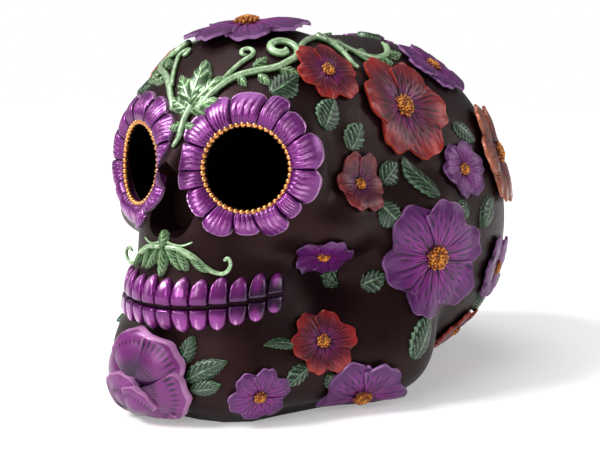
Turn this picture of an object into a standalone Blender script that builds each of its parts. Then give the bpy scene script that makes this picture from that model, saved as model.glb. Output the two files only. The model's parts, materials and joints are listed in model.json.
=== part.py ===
"""Flower-covered skull ornament, modelled as the shell and the pieces pressed onto it.

Blender 4.5, metres, +Z up. The face looks along -Y, so +X is the skull's own left side.
The origin is the middle of the resting face, which is the underside of the base pad.
Run: blender --background --python part.py
"""
import math
from dataclasses import dataclass

import bmesh
import bpy
import numpy as np
from mathutils import Matrix, Vector

MM = 0.001

# ---------------------------------------------------------------- overall sizes
SKULL_WIDTH = 98 * MM        # bare skull, ear to ear
SKULL_LENGTH = 138 * MM      # bare skull, teeth to back
SKULL_HEIGHT = 100 * MM      # bare skull, table to crown
PATTERN = (98 * MM, 138 * MM, 100 * MM)   # the skull that the bone table below describes

# ---------------------------------------------------------------- shell and pad
SHELL_WALL = 6 * MM          # thinnest wall of the casting, at the sides
FOOT_HOLE_RADIUS = 26 * MM   # hole in the underside, which the pad closes
PAD_THICKNESS = 1.5 * MM
PAD_INSET = 1.2 * MM         # pad edge inside the shell's edge
GAP = 0.3 * MM               # between pieces that touch
SEAT_GAP = 0.6 * MM          # under a pressed piece, which bridges the shell's facets
SHELL_GRID = 20              # facets along each side of the shell's cage
RAY_REACH = 160 * MM         # rays start this far out, clear of the skull

# ---------------------------------------------------------------- face
EYE_CENTRE = np.array([15.6, -49.5, 64.0]) * MM
EYE_TURN = math.radians(15)          # each eye looks this far to its own side
EYE_RISE = 0.05                      # and slightly up
EYE_RADIUS = 10.6 * MM
EYE_CUT_IN = 34 * MM                 # the eye hole reaches the chamber
BEAD_COUNT = 46
BEAD_RADIUS = 0.85 * MM
BEAD_WAIST = 0.55                    # wire between beads, as a share of the bead
PETAL_RING_OUTER = 18.8 * MM            # set by the room between nose, brow and cheek
PETAL_RING_THICKNESS = 1.7 * MM
PETAL_RING_LOBES = 12
PETAL_RING_GAP = 1.3 * MM            # under it, where the rim curves tighter than its facets
MIDLINE_CLEARANCE = 0.6 * MM         # the two petal rings stay this far off the middle
NOSE_TOP, NOSE_BOTTOM = 65 * MM, 47.5 * MM
NOSE_WIDTH = 17 * MM
NOSE_FLOOR = -56 * MM                # y of the bottom of the nose recess
MOUTH_LINE = 30 * MM                 # height of the line where the teeth meet
UPPER_TOOTH, LOWER_TOOTH = 7.4 * MM, 6.2 * MM
TOOTH_THICKNESS = 2.2 * MM
TEETH_PER_ROW = 14
TEETH_SWEEP = math.radians(27)       # half of the dental arch, about the heart

# ---------------------------------------------------------------- pressed pieces
HEART = np.array([0.0, -2.0, 50.0]) * MM   # middle that all azimuths and elevations start at
BLOOM_RIM = 0.9 * MM         # petal edge
BLOOM_BODY = 1.9 * MM        # petal near the stamens
BLOOM_DOME = 3.1 * MM        # top of the stamens
BLOOM_FLATNESS = 0.7         # how far a bloom stays flat instead of following the skull
SMALL_BLOOM = 7.6            # millimetres; a smaller bloom needs fewer rings underneath
UNDERSIDE = ((0.85, 0), (0.45, 0), (0, 0))   # rings under a wide piece
CHIN_BLOOM_PLACE = (-3, -30.5)
CHIN_BLOOM_RADIUS = 13.4 * MM
CHIN_BLOOM_DOME = 9 * MM
LEAF_THICKNESS = 1.5 * MM
VINE_RADIUS = 1.1 * MM
VINE_STEP = 2.6 * MM
DEEPEST_SAG = 5 * MM         # a pressed piece bridges any hollow deeper than this
FOOT_LEVEL = PAD_THICKNESS + GAP   # underside of the shell and of what is pressed on it


@dataclass(frozen=True)
class Bone:
    """One rounded volume of the skull, in millimetres of the pattern; the -X side mirrors it."""

    kind: str
    start: tuple
    end: tuple
    radius: float
    blend: float


def lobe(centre, radii, blend):
    """An ellipsoid."""
    return Bone("lobe", centre, radii, 0, blend)


def bar(start, end, radius, blend):
    """A straight bar with round ends."""
    return Bone("bar", start, end, radius, blend)


def hoop(centre, axis, reach, radius, blend):
    """A round ring; its radius to the middle of the tube is in the blend pair."""
    return Bone("hoop", centre, axis, radius, (reach, blend))


EYE_AXIS = (math.sin(EYE_TURN), -math.cos(EYE_TURN), EYE_RISE)
CRANIUM = lobe((0, 17, 51.5), (49, 51, 48.5), 0)
BONES = (
    CRANIUM,
    lobe((0, 16, 36.5), (47.5, 51.5, 38), 13),         # lower cranium
    lobe((0, -25, 69), (36, 34, 32), 13),              # forehead
    bar((0, -55, 73), (0, -64, 63), 3.5, 5),           # bridge of the nose
    lobe((0, -46, 46), (20, 21, 17), 8),               # upper jaw
    lobe((26, -37, 50), (12, 12, 8.5), 7),             # cheekbone
    bar((33, -33, 50), (44, -6, 51), 4.5, 9),          # cheek arch
    lobe((0, -43, 31), (24, 27, 15), 7),               # seat of the teeth
    lobe((0, -55, 13), (18, 14, 14), 9),               # chin
    bar((14, -52, 13), (34, -16, 15), 13, 10),         # lower jaw
    bar((33.5, -21, 16), (38, -8, 42), 10, 14),        # back of the jaw
    lobe((0, -8, 15), (34, 52, 16), 8),                # foot
    hoop(tuple(EYE_CENTRE / MM), EYE_AXIS, 14.5, 4.0, 6),   # rim round the eye
)
STRETCH = np.array([SKULL_WIDTH, SKULL_LENGTH, SKULL_HEIGHT]) / np.array(PATTERN)
PRESS = float(min(1.0, STRETCH.min()))   # pressed pieces shrink with a skull that shrinks
FACET = float(max(1.0, STRETCH.max())) ** 2  # the gaps under them grow with the facets


@dataclass(frozen=True)
class Bloom:
    """A pressed flower: where it sits, its radius in millimetres and how it is turned.

    lean tips its face forward, and level takes away that share of its tilt up or down.
    """

    azimuth: float
    elevation: float
    radius: float
    petals: int = 6
    turn: float = 0
    lean: float = 0
    level: float = 0
    tone: str = "purple"


@dataclass(frozen=True)
class Leaf:
    """A pressed leaf, from the foot of its stem to its tip."""

    foot: tuple
    tip: tuple
    width: float


SIDE_BLOOMS = {
    "brow_bloom": Bloom(40, 43, 8.3, turn=8, level=0.5, tone="red"),
    "crown_side_bloom": Bloom(79, 39, 14.6, turn=-6, lean=0.2, level=0.45, tone="red"),
    "ear_bloom": Bloom(99.5, 13, 8.0, turn=10, lean=0.15),
    "temple_bloom": Bloom(50, 10.5, 7.4, turn=50, tone="rose"),
    "cheek_bloom": Bloom(76, -12, 15.0, turn=12, lean=0.18),
    "rear_bloom": Bloom(127, 14, 15.2, tone="red"),
    "nape_bloom": Bloom(120, -19, 9.8),
    "hollow_bloom": Bloom(38.5, -10, 7.4, petals=5, level=0.7),
    "jaw_bloom": Bloom(37.6, -30, 8.2, turn=5, tone="red"),
    "chin_side_bloom": Bloom(22.3, -34, 7.2, turn=15, level=0.5),
    "base_bloom": Bloom(51, -44, 11.8, turn=10, level=0.3),
    "rear_crown_bloom": Bloom(126, 47, 10.8),
    "rear_base_bloom": Bloom(122, -41, 9.0, tone="red"),
}
ONE_SIDED = ("hollow_bloom", "chin_side_bloom")
MIDDLE_BLOOMS = {
    "crown_bloom": Bloom(0, 60, 16, petals=7),
    "back_bloom": Bloom(180, 6, 14.5, tone="red"),
    "back_crown_bloom": Bloom(180, 52, 9.5),
}
SIDE_LEAVES = {
    "brow_leaf_lower": Leaf((41.5, 33.5), (38, 25.5), 6.4),
    "brow_leaf_front": Leaf((30.5, 37.5), (24, 32), 6.4),
    "temple_leaf": Leaf((51, 28.5), (46.5, 21.5), 6.4),
    "crown_leaf_front": Leaf((68, 18), (60.5, 12.5), 5.6),
    "crown_leaf_rear": Leaf((73.5, 19), (79, 5.5), 6.0),
    "cheek_leaf_upper": Leaf((63, -2), (56.5, 4.5), 6.0),
    "cheek_leaf_front": Leaf((60, -18.5), (52.5, -22), 5.2),
    "cheek_leaf_lower": Leaf((73, -27.5), (65.5, -34.5), 6.4),
    "ear_leaf": Leaf((104, -5.5), (112, 2), 5.6),
    "jaw_leaf_upper": Leaf((44.5, -22), (41.5, -24.5), 3.6),
}
BOTH_SIDES_LEAVES = ("brow_leaf_front", "crown_leaf_rear", "cheek_leaf_lower", "ear_leaf")

BROW_VINE = ((9, 32), (13.5, 36), (19, 37.5), (25, 41), (27.5, 45.5), (25.5, 49.5), (22, 49))
CROWN_VINE = ((33, 48.5), (37, 56), (36, 63), (46, 66), (66, 62), (100, 64), (130, 66))


# ---------------------------------------------------------------- the skull's form
def blend_min(first, second, width):
    """Smooth minimum of two distances."""
    share = np.clip(0.5 + 0.5 * (second - first) / width, 0, 1)
    return second * (1 - share) + first * share - width * share * (1 - share)


def bone_distance(bone, points):
    """Distance from points, in pattern millimetres, to one bone's surface."""
    start = np.array(bone.start, float)
    end = np.array(bone.end, float)
    offset = points - start
    if bone.kind == "lobe":
        scaled = np.linalg.norm(offset / end, axis=1)
        slope = np.linalg.norm(offset / end**2, axis=1)
        return scaled * (scaled - 1) / np.maximum(slope, 1e-9)
    if bone.kind == "bar":
        run = end - start
        along = np.clip(offset @ run / (run @ run), 0, 1)
        return np.linalg.norm(offset - along[:, None] * run, axis=1) - bone.radius
    axis = end / np.linalg.norm(end)
    height = offset @ axis
    outward = np.linalg.norm(offset - height[:, None] * axis, axis=1)
    return np.hypot(outward - bone.blend[0], height) - bone.radius


def skull_distance(points):
    """Signed distance in metres from points to the bare skull, negative inside."""
    folded = points / STRETCH / MM
    folded[:, 0] = np.abs(folded[:, 0])
    distance = bone_distance(CRANIUM, folded)
    for bone in BONES[1:]:
        width = bone.blend[1] if bone.kind == "hoop" else bone.blend
        distance = blend_min(distance, bone_distance(bone, folded), width)
    return distance * MM * STRETCH.min()


def fall(starts, directions, steps=90):
    """Points where rays from outside first meet the skull."""
    points = np.array(starts, float)
    for _ in range(steps):
        points = points + directions * skull_distance(points)[:, None] * 0.9
    return points


def outward(points, reach=1.5 * MM):
    """Unit normals of the skull's form, averaged over a small reach."""
    slope = np.empty_like(points)
    for axis in range(3):
        step = np.zeros(3)
        step[axis] = reach
        slope[:, axis] = skull_distance(points + step) - skull_distance(points - step)
    return slope / np.linalg.norm(slope, axis=1)[:, None]


def bearing(azimuth, elevation):
    """Unit direction from the heart; azimuth 0 is straight ahead, 90 is the left side."""
    turn, rise = math.radians(azimuth), math.radians(elevation)
    flat = math.cos(rise)
    return np.array([math.sin(turn) * flat, -math.cos(turn) * flat, math.sin(rise)])


def skin_points(directions):
    """Points of the skull in the given directions from the heart."""
    directions = np.atleast_2d(directions)
    heart = HEART * STRETCH
    return fall(heart + directions * RAY_REACH, -directions)


# ---------------------------------------------------------------- scene helpers
def clear_scene():
    """Remove the objects that a new file starts with."""
    for thing in list(bpy.data.objects):
        bpy.data.objects.remove(thing, do_unlink=True)


def new_collection(name):
    """A collection linked to the scene."""
    collection = bpy.data.collections.new(name)
    bpy.context.scene.collection.children.link(collection)
    return collection


def paint(name, colour, roughness, metallic=0.0):
    """A material with one Principled shader."""
    material = bpy.data.materials.new(name)
    material.use_nodes = True
    shader = material.node_tree.nodes["Principled BSDF"]
    shader.inputs["Base Color"].default_value = (*colour, 1)
    shader.inputs["Roughness"].default_value = roughness
    shader.inputs["Metallic"].default_value = metallic
    return material


def finish(name, bm, material, smooth=40):
    """Turn a bmesh into an object of the ornament, its faces pointing out."""
    bmesh.ops.recalc_face_normals(bm, faces=bm.faces)
    mesh = bpy.data.meshes.new(name)
    bm.to_mesh(mesh)
    bm.free()
    mesh.shade_smooth()
    mesh.set_sharp_from_angle(angle=math.radians(smooth))
    mesh.materials.append(material)
    piece = bpy.data.objects.new(name, mesh)
    PARTS.objects.link(piece)
    return piece


def as_cutter(name, bm):
    """Turn a bmesh into a cutter, which is not part of the ornament."""
    mesh = bpy.data.meshes.new(name)
    bm.to_mesh(mesh)
    bm.free()
    cutter = bpy.data.objects.new(name, mesh)
    cutter.display_type = "WIRE"
    cutter.hide_render = True
    CUTTERS.objects.link(cutter)
    return cutter


def cut(piece, cutter):
    """Take a cutter away from a piece."""
    modifier = piece.modifiers.new(cutter.name, "BOOLEAN")
    modifier.operation = "DIFFERENCE"
    modifier.object = cutter


def trim_below(bm, height):
    """Cut a closed mesh off at a height and close it again."""
    bmesh.ops.remove_doubles(bm, verts=bm.verts, dist=0.00001)
    if min(vertex.co.z for vertex in bm.verts) >= height:
        return
    everything = bm.verts[:] + bm.edges[:] + bm.faces[:]
    cutting = bmesh.ops.bisect_plane(
        bm, geom=everything, plane_co=(0, 0, height), plane_no=(0, 0, 1), clear_inner=True
    )
    rim = [part for part in cutting["geom_cut"] if isinstance(part, bmesh.types.BMEdge)]
    bmesh.ops.holes_fill(bm, edges=rim)


def side_name(side, name):
    """Name of a piece on the skull's own left (+1) or right (-1)."""
    return ("left_" if side > 0 else "right_") + name


# ---------------------------------------------------------------- seats on the skull
@dataclass
class Seat:
    """A place on the skull: its point and the directions across, up and out."""

    point: np.ndarray
    across: np.ndarray
    up: np.ndarray
    out: np.ndarray

    def lay(self, flat, lift, flatness=0.0):
        """Points over the seat, lifted off the skull.

        flat is an (n, 2) array of places across and up, lift their height over the skull.
        With a flatness above 0 the height is partly measured from the seat's plane.
        """
        spots = self.point + flat[:, :1] * self.across + flat[:, 1:] * self.up
        rays = np.tile(-self.out, (len(spots), 1))
        skin = fall(spots + self.out * 9 * MM, rays)
        sag = (spots - skin) @ self.out
        skin = skin + self.out * np.maximum(sag - DEEPEST_SAG, 0)[:, None]
        return skin + self.out * (lift + flatness * np.maximum(sag, 0))[:, None]


def seat_at(azimuth, elevation, turn=0.0, lean=0.0, level=0.0):
    """The seat in a direction from the heart, turned about its normal, leaned and levelled."""
    point = skin_points(bearing(azimuth, elevation))[0]
    out = outward(point[None], 4 * MM)[0] * np.array([1, 1, 1 - level])
    out = out + np.array([0, -lean, 0])
    out = out / np.linalg.norm(out)
    guide = np.array([0, 0, 1.0]) if abs(out[2]) < 0.9 else np.array([0, 1.0, 0])
    across = np.cross(guide, out)
    across = across / np.linalg.norm(across)
    up = np.cross(out, across)
    spin = math.radians(turn)
    turned = across * math.cos(spin) + up * math.sin(spin)
    return Seat(point, turned, np.cross(out, turned), out)


def seat_between(foot, tip):
    """The seat halfway between two directions, its across axis pointing to the tip."""
    ends = skin_points(np.array([bearing(*foot), bearing(*tip)]))
    middle = ends.mean(axis=0) - HEART * STRETCH
    point = skin_points(middle / np.linalg.norm(middle))[0]
    out = outward(point[None], 4 * MM)[0]
    run = ends[1] - ends[0]
    across = run - out * (run @ out)
    across = across / np.linalg.norm(across)
    return Seat(point, across, np.cross(out, across), out), float(np.linalg.norm(run))


def pressed(name, seat, outline, profile, segments, material, flatness=0.0):
    """A closed relief pressed onto the skull.

    outline gives the rim's place across and up for an angle. profile lists rings from the
    top middle to the underside's middle, each as (share of the outline, height).
    """
    bm = bmesh.new()
    bmesh.ops.create_uvsphere(bm, u_segments=segments, v_segments=len(profile) - 1, radius=1)
    flat, lift, hold = [], [], []
    for vertex in bm.verts:
        polar = math.acos(max(-1.0, min(1.0, vertex.co.z)))
        ring = round(polar / math.pi * (len(profile) - 1))
        share, height = profile[ring]
        across, up = outline(math.atan2(vertex.co.y, vertex.co.x))
        flat.append((share * across, share * up))
        lift.append(height + SEAT_GAP * FACET)
        hold.append(flatness if height > 0 else 0)
    places = seat.lay(np.array(flat), np.array(lift), np.array(hold))
    for vertex, place in zip(bm.verts, places):
        vertex.co = Vector(place)
    trim_below(bm, FOOT_LEVEL)
    return finish(name, bm, material)


def petal_outline(radius, petals, notch=0.24):
    """Outline of a flower whose petals are broad, with a notch between neighbours."""

    def outline(angle):
        swell = abs(math.cos(petals * angle / 2))
        reach = radius * (1 - notch * (1 - swell**0.6))
        return reach * math.cos(angle), reach * math.sin(angle)

    return outline


def leaf_outline(length, width):
    """Outline of a leaf, widest nearer its foot and pointed at its tip."""

    def outline(angle):
        across = math.cos(angle)
        body = math.sin(angle) * abs(math.sin(angle)) ** 0.35
        return across * length / 2, body * width / 2 * (1 - 0.25 * across)

    return outline


def spray_outline(reaches, sharpness=2.2):
    """Outline of a spray of leaflets, each given as (angle in degrees, reach, half width)."""

    def outline(angle):
        reach = 0.0
        for heading, length, spread in reaches:
            off = math.remainder(angle - math.radians(heading), 2 * math.pi)
            near = max(0.0, 1 - abs(off) / math.radians(spread)) ** (1 / sharpness)
            reach = max(reach, length * near)
        reach = max(reach, 2.2 * MM * PRESS)
        return reach * math.cos(angle), reach * math.sin(angle)

    return outline


# ---------------------------------------------------------------- sub-parts
def build_shell(material):
    """The hollow skull: form, chamber, eye holes, nose recess and foot hole."""
    bm = bmesh.new()
    bmesh.ops.create_cube(bm, size=2)
    bmesh.ops.subdivide_edges(bm, edges=bm.edges, cuts=SHELL_GRID - 1, use_grid_fill=True)
    cage = np.array([vertex.co for vertex in bm.verts])
    rays = np.tan(cage * math.pi / 4)
    rays = rays / np.linalg.norm(rays, axis=1)[:, None]
    for vertex, place in zip(bm.verts, skin_points(rays)):
        vertex.co = Vector(place)
    trim_below(bm, FOOT_LEVEL)
    shell = finish("skull_shell", bm, material, smooth=50)
    cut(shell, chamber_cutter())
    cut(shell, foot_hole_cutter())
    for side in (1, -1):
        cut(shell, eye_cutter(side))
    cut(shell, nose_cutter())
    return shell


def chamber_cutter():
    """The cranium's form, smaller by the wall."""
    bm = bmesh.new()
    bmesh.ops.create_uvsphere(bm, u_segments=28, v_segments=16, radius=1)
    radii = np.array(CRANIUM.end) * MM * STRETCH - SHELL_WALL
    centre = np.array(CRANIUM.start) * MM * STRETCH
    for vertex in bm.verts:
        vertex.co = Vector(np.array(vertex.co) * radii + centre)
    return as_cutter("chamber_cutter", bm)


def foot_hole_cutter():
    """An upright drum from under the shell into the chamber."""
    bm = bmesh.new()
    height = CRANIUM.start[2] * MM * STRETCH[2]
    bmesh.ops.create_cone(
        bm, cap_ends=True, segments=32, depth=height + 2 * MM,
        radius1=FOOT_HOLE_RADIUS * PRESS, radius2=FOOT_HOLE_RADIUS * PRESS,
        matrix=Matrix.Translation((0, CRANIUM.start[1] * MM * STRETCH[1], height / 2 - 1 * MM)),
    )
    return as_cutter("foot_hole_cutter", bm)


def eye_seat(side):
    """The seat of an eye: the middle of its rim, looking along its axis."""
    mirror = np.array([side, 1, 1])
    out = np.array(EYE_AXIS) * mirror
    out = out / np.linalg.norm(out)
    across = np.cross([0, 0, 1.0], out) * side
    across = across / np.linalg.norm(across)
    return Seat(EYE_CENTRE * STRETCH * mirror, across, np.cross(out, across) * side, out)


def eye_cutter(side):
    """A drum along the eye's axis, from in front of the face into the chamber."""
    seat = eye_seat(side)
    bm = bmesh.new()
    depth = EYE_CUT_IN * STRETCH[1] + 30 * MM
    turn = Vector((0, 0, 1)).rotation_difference(Vector(seat.out)).to_matrix().to_4x4()
    middle = Vector(seat.point + seat.out * (30 * MM - depth / 2))
    bmesh.ops.create_cone(
        bm, cap_ends=True, segments=40, depth=depth, radius1=EYE_RADIUS, radius2=EYE_RADIUS,
        matrix=Matrix.Translation(middle) @ turn,
    )
    return as_cutter(side_name(side, "eye_cutter"), bm)


def nose_outline(steps=20):
    """Rim of the nose recess, a heart upside down, as (x, z) points."""
    height = (NOSE_TOP - NOSE_BOTTOM) * STRETCH[2]
    rim = []
    for step in range(steps):
        angle = 2 * math.pi * step / steps
        rise = 0.5 + 0.5 * math.cos(angle)
        x = math.sin(angle) * (1 - rise) ** 0.35 * NOSE_WIDTH / 2 * PRESS
        dip = 0.16 * math.exp(-((x / (NOSE_WIDTH * 0.14)) ** 2)) * (1 - rise)
        rim.append((x, NOSE_BOTTOM * STRETCH[2] + height * (rise + dip)))
    return rim


def nose_cutter():
    """The nose outline as a flat curve, thickened along Y and made a mesh."""
    front = -RAY_REACH / 2
    back = NOSE_FLOOR * STRETCH[1]
    curve = bpy.data.curves.new("nose_outline", "CURVE")
    curve.dimensions = "2D"
    curve.fill_mode = "BOTH"
    curve.extrude = (back - front) / 2
    rim = nose_outline()
    spline = curve.splines.new("POLY")
    spline.points.add(len(rim) - 1)
    spline.use_cyclic_u = True
    for point, (x, z) in zip(spline.points, rim):
        point.co = (x, z, 0, 1)
    drawn = bpy.data.objects.new("nose_outline", curve)
    CUTTERS.objects.link(drawn)
    drawn.rotation_euler = (math.pi / 2, 0, 0)
    drawn.location = (0, (front + back) / 2, 0)
    bpy.context.view_layer.update()
    shape = bpy.data.meshes.new_from_object(drawn.evaluated_get(
        bpy.context.evaluated_depsgraph_get()))
    bm = bmesh.new()
    bm.from_mesh(shape)
    bm.transform(drawn.matrix_world)
    bmesh.ops.remove_doubles(bm, verts=bm.verts, dist=0.00001)
    bmesh.ops.recalc_face_normals(bm, faces=bm.faces)
    bpy.data.objects.remove(drawn, do_unlink=True)
    return as_cutter("nose_cutter", bm)


def build_pad(material, steps=56):
    """The board under the shell, its outline inside the shell's foot."""
    turns = [2 * math.pi * step / steps for step in range(steps)]
    rays = np.array([(math.cos(turn), math.sin(turn), 0) for turn in turns])
    middle = np.array([0, HEART[1] * STRETCH[1], FOOT_LEVEL])
    rim = fall(middle + rays * RAY_REACH, -rays) - rays * PAD_INSET
    curve = bpy.data.curves.new("base_pad", "CURVE")
    curve.dimensions = "2D"
    curve.fill_mode = "BOTH"
    curve.extrude = PAD_THICKNESS / 2
    spline = curve.splines.new("POLY")
    spline.points.add(steps - 1)
    spline.use_cyclic_u = True
    for point, place in zip(spline.points, rim):
        point.co = (place[0], place[1], 0, 1)
    curve.materials.append(material)
    pad = bpy.data.objects.new("base_pad", curve)
    pad.location = (0, 0, PAD_THICKNESS / 2)
    PARTS.objects.link(pad)
    return pad


def skin_loops(bm, loops):
    """Join rings of vertices, each to the next and the last to the first, with faces."""
    for loop, following in zip(loops, loops[1:] + loops[:1]):
        for here in range(len(loop)):
            there = (here + 1) % len(loop)
            bm.faces.new((loop[here], loop[there], following[there], following[here]))


def build_petal_ring(side, material):
    """The ruffled ring of petals round one eye, laid over the rim."""
    seat = eye_seat(side)
    inner = EYE_RADIUS + 2 * BEAD_RADIUS + GAP
    stations = ((0, 0), (0, 0.6), (0.5, 1.0), (0.95, 0.7), (1, 0), (0.78, 0), (0.4, 0))
    bm = bmesh.new()
    flat, lift, loops = [], [], []
    turns = PETAL_RING_LOBES * 4
    room = (abs(seat.point[0]) - MIDLINE_CLEARANCE) / abs(seat.across[0])
    for step in range(turns):
        angle = 2 * math.pi * step / turns
        ruffle = 0.5 + 0.5 * math.cos(PETAL_RING_LOBES * angle)
        temple = 0.5 + 0.5 * math.cos(angle)
        width = (PETAL_RING_OUTER - inner) * PRESS * (0.84 + 0.14 * ruffle + 0.1 * temple)
        if math.cos(angle) < 0:
            width = min(width, room / -math.cos(angle) - inner)
        loop = []
        for share, height in stations:
            reach = inner + share * width
            flat.append((reach * math.cos(angle), reach * math.sin(angle)))
            lift.append(PETAL_RING_GAP * FACET + height * PETAL_RING_THICKNESS)
            loop.append(bm.verts.new())
        loops.append(loop)
    places = seat.lay(np.array(flat), np.array(lift))
    for vertex, place in zip(bm.verts, places):
        vertex.co = Vector(place)
    skin_loops(bm, loops)
    return finish(side_name(side, "eye_petal_ring"), bm, material)


def build_bead_ring(side, material):
    """The string of beads round one eye hole, thick at each bead and thin between."""
    seat = eye_seat(side)
    circle = EYE_RADIUS + BEAD_RADIUS
    turns, sides = BEAD_COUNT * 2, 3
    angles = 2 * math.pi * np.arange(turns) / turns
    ring = np.stack([np.cos(angles), np.sin(angles)], axis=1)
    skin = seat.lay(ring * (circle + BEAD_RADIUS), np.zeros(turns))
    heights = (skin - seat.point) @ seat.out + SEAT_GAP * FACET + BEAD_RADIUS
    bm = bmesh.new()
    loops = []
    for step, (angle, level) in enumerate(zip(angles, heights)):
        thick = BEAD_RADIUS * (1 if step % 2 == 0 else BEAD_WAIST)
        radial = seat.across * math.cos(angle) + seat.up * math.sin(angle)
        loop = []
        for side_step in range(sides):
            roll = 2 * math.pi * (side_step + 0.5) / sides
            place = (seat.point + radial * (circle + thick * math.cos(roll))
                     + seat.out * (level + thick * math.sin(roll)))
            loop.append(bm.verts.new(place))
        loops.append(loop)
    skin_loops(bm, loops)
    return finish(side_name(side, "bead_ring"), bm, material)


def build_teeth(name, bottom, top, material):
    """One row of teeth: a curved slab whose front has a groove between teeth."""
    columns, rows = TEETH_PER_ROW * 2, 2
    bm = bmesh.new()
    bmesh.ops.create_grid(bm, x_segments=columns, y_segments=rows, size=1)
    sheet = bm.verts[:]
    raised = bmesh.ops.extrude_face_region(bm, geom=bm.faces[:])
    fronts = {part for part in raised["geom"] if isinstance(part, bmesh.types.BMVert)}
    spots, lifts = [], []
    everyone = sheet + [vertex for vertex in bm.verts if vertex in fronts]
    for vertex in everyone:
        along, rise = vertex.co.x, vertex.co.y
        tooth = abs(math.sin(math.pi * TEETH_PER_ROW * (along + 1) / 2))
        swell = 0.45 + 0.55 * tooth**0.5
        belly = 1 - 0.35 * rise**4
        fade = 1 - 0.5 * along**8
        front = TOOTH_THICKNESS * swell * belly * fade if vertex in fronts else 0
        sweep = along * TEETH_SWEEP
        spots.append((sweep, bottom + (top - bottom) * (rise + 1) / 2))
        lifts.append(SEAT_GAP * FACET + front)
    spots = np.array(spots)
    rays = np.stack([np.sin(spots[:, 0]), -np.cos(spots[:, 0]), 0 * spots[:, 0]], axis=1)
    axis = np.array([0, HEART[1] * STRETCH[1], 0]) + spots[:, 1:] * np.array([0, 0, 1.0])
    skin = fall(axis + rays * RAY_REACH, -rays)
    for vertex, place in zip(everyone, skin + rays * np.array(lifts)[:, None]):
        vertex.co = Vector(place)
    return finish(name, bm, material)


def build_bloom(name, bloom, side, material):
    """A pressed flower with its stamens in the middle."""
    radius = bloom.radius * MM * PRESS
    seat = seat_at(
        side * bloom.azimuth, bloom.elevation, side * bloom.turn, bloom.lean, bloom.level)
    petals = ((0, BLOOM_DOME), (0.22, BLOOM_DOME * 0.8), (0.62, BLOOM_BODY), (1, BLOOM_RIM))
    underside = ((0.7, 0), (0, 0)) if bloom.radius < SMALL_BLOOM else UNDERSIDE
    outline = petal_outline(radius, bloom.petals)
    return pressed(
        name, seat, outline, petals + underside, bloom.petals * 4, material, BLOOM_FLATNESS)


def build_chin_bloom(material):
    """The full bloom on the chin, a thick dome of overlapping petals."""
    seat = seat_at(*CHIN_BLOOM_PLACE)
    profile = (
        (0, CHIN_BLOOM_DOME), (0.4, CHIN_BLOOM_DOME * 0.95), (0.78, CHIN_BLOOM_DOME * 0.75),
        (1, CHIN_BLOOM_DOME * 0.4), *UNDERSIDE,
    )
    outline = petal_outline(CHIN_BLOOM_RADIUS * PRESS, 7, notch=0.1)
    return pressed("chin_bloom", seat, outline, profile, 28, material)


def build_leaf(name, leaf, side, material):
    """A pressed leaf."""
    ends = [(side * azimuth, elevation) for azimuth, elevation in (leaf.foot, leaf.tip)]
    seat, length = seat_between(*ends)
    profile = ((0, LEAF_THICKNESS), (0.6, LEAF_THICKNESS * 0.8), (1, 0.4 * MM), (0.85, 0), (0, 0))
    outline = leaf_outline(length, leaf.width * MM * PRESS)
    return pressed(name, seat, outline, profile, 14, material)


def build_moustache(material):
    """The spray under the nose: two long leaves out to the sides and short ones between."""
    reaches = ((-6, 15, 24), (186, 15, 24), (38, 7, 26), (142, 7, 26), (90, 5, 30), (270, 4, 60))
    scaled = [(heading, length * MM * PRESS, spread) for heading, length, spread in reaches]
    profile = ((0, 2.0 * MM), (0.5, 1.7 * MM), (1, 0.5 * MM), *UNDERSIDE)
    seat = seat_at(0, -6)
    return pressed("moustache_spray", seat, spray_outline(scaled), profile, 32, material)


def build_forehead_spray(material):
    """The spray between the brows: five leaves fanned upward over a short stem."""
    reaches = ((90, 10, 20), (48, 9, 20), (132, 9, 20), (12, 7, 20), (168, 7, 20), (270, 12, 16))
    scaled = [(heading, length * MM * PRESS, spread) for heading, length, spread in reaches]
    profile = ((0, 2.0 * MM), (0.5, 1.7 * MM), (1, 0.5 * MM), *UNDERSIDE)
    seat = seat_at(0, 29)
    return pressed("forehead_spray", seat, spray_outline(scaled), profile, 36, material)


def curve_through(marks, share):
    """Catmull-Rom point along a list of marks; share runs from 0 to 1."""
    place = share * (len(marks) - 1)
    first = min(int(place), len(marks) - 2)
    part = place - first
    before = marks[max(first - 1, 0)]
    after = marks[min(first + 2, len(marks) - 1)]
    start, end = marks[first], marks[first + 1]
    return 0.5 * (2 * start + (end - before) * part
                  + (2 * before - 5 * start + 4 * end - after) * part**2
                  + (3 * start - before - 3 * end + after) * part**3)


def build_vine(name, route, side, material):
    """A tube that follows the skull along a smooth route of directions."""
    marks = np.array([bearing(side * azimuth, elevation) for azimuth, elevation in route])
    fine = np.array([curve_through(marks, step / 200) for step in range(201)])
    skin = skin_points(fine / np.linalg.norm(fine, axis=1)[:, None])
    travel = np.concatenate([[0], np.cumsum(np.linalg.norm(np.diff(skin, axis=0), axis=1))])
    count = max(4, round(travel[-1] / VINE_STEP))
    wanted = np.linspace(0, travel[-1], count + 1)
    path = np.stack([np.interp(wanted, travel, skin[:, axis]) for axis in range(3)], axis=1)
    path = path + outward(path) * (VINE_RADIUS + SEAT_GAP * FACET)
    curve = bpy.data.curves.new(name, "CURVE")
    curve.dimensions = "3D"
    curve.bevel_depth = VINE_RADIUS
    curve.bevel_resolution = 1
    curve.use_fill_caps = True
    spline = curve.splines.new("POLY")
    spline.points.add(len(path) - 1)
    for point, place in zip(spline.points, path):
        point.co = (*place, 1)
    curve.materials.append(material)
    vine = bpy.data.objects.new(name, curve)
    PARTS.objects.link(vine)
    return vine


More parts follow.
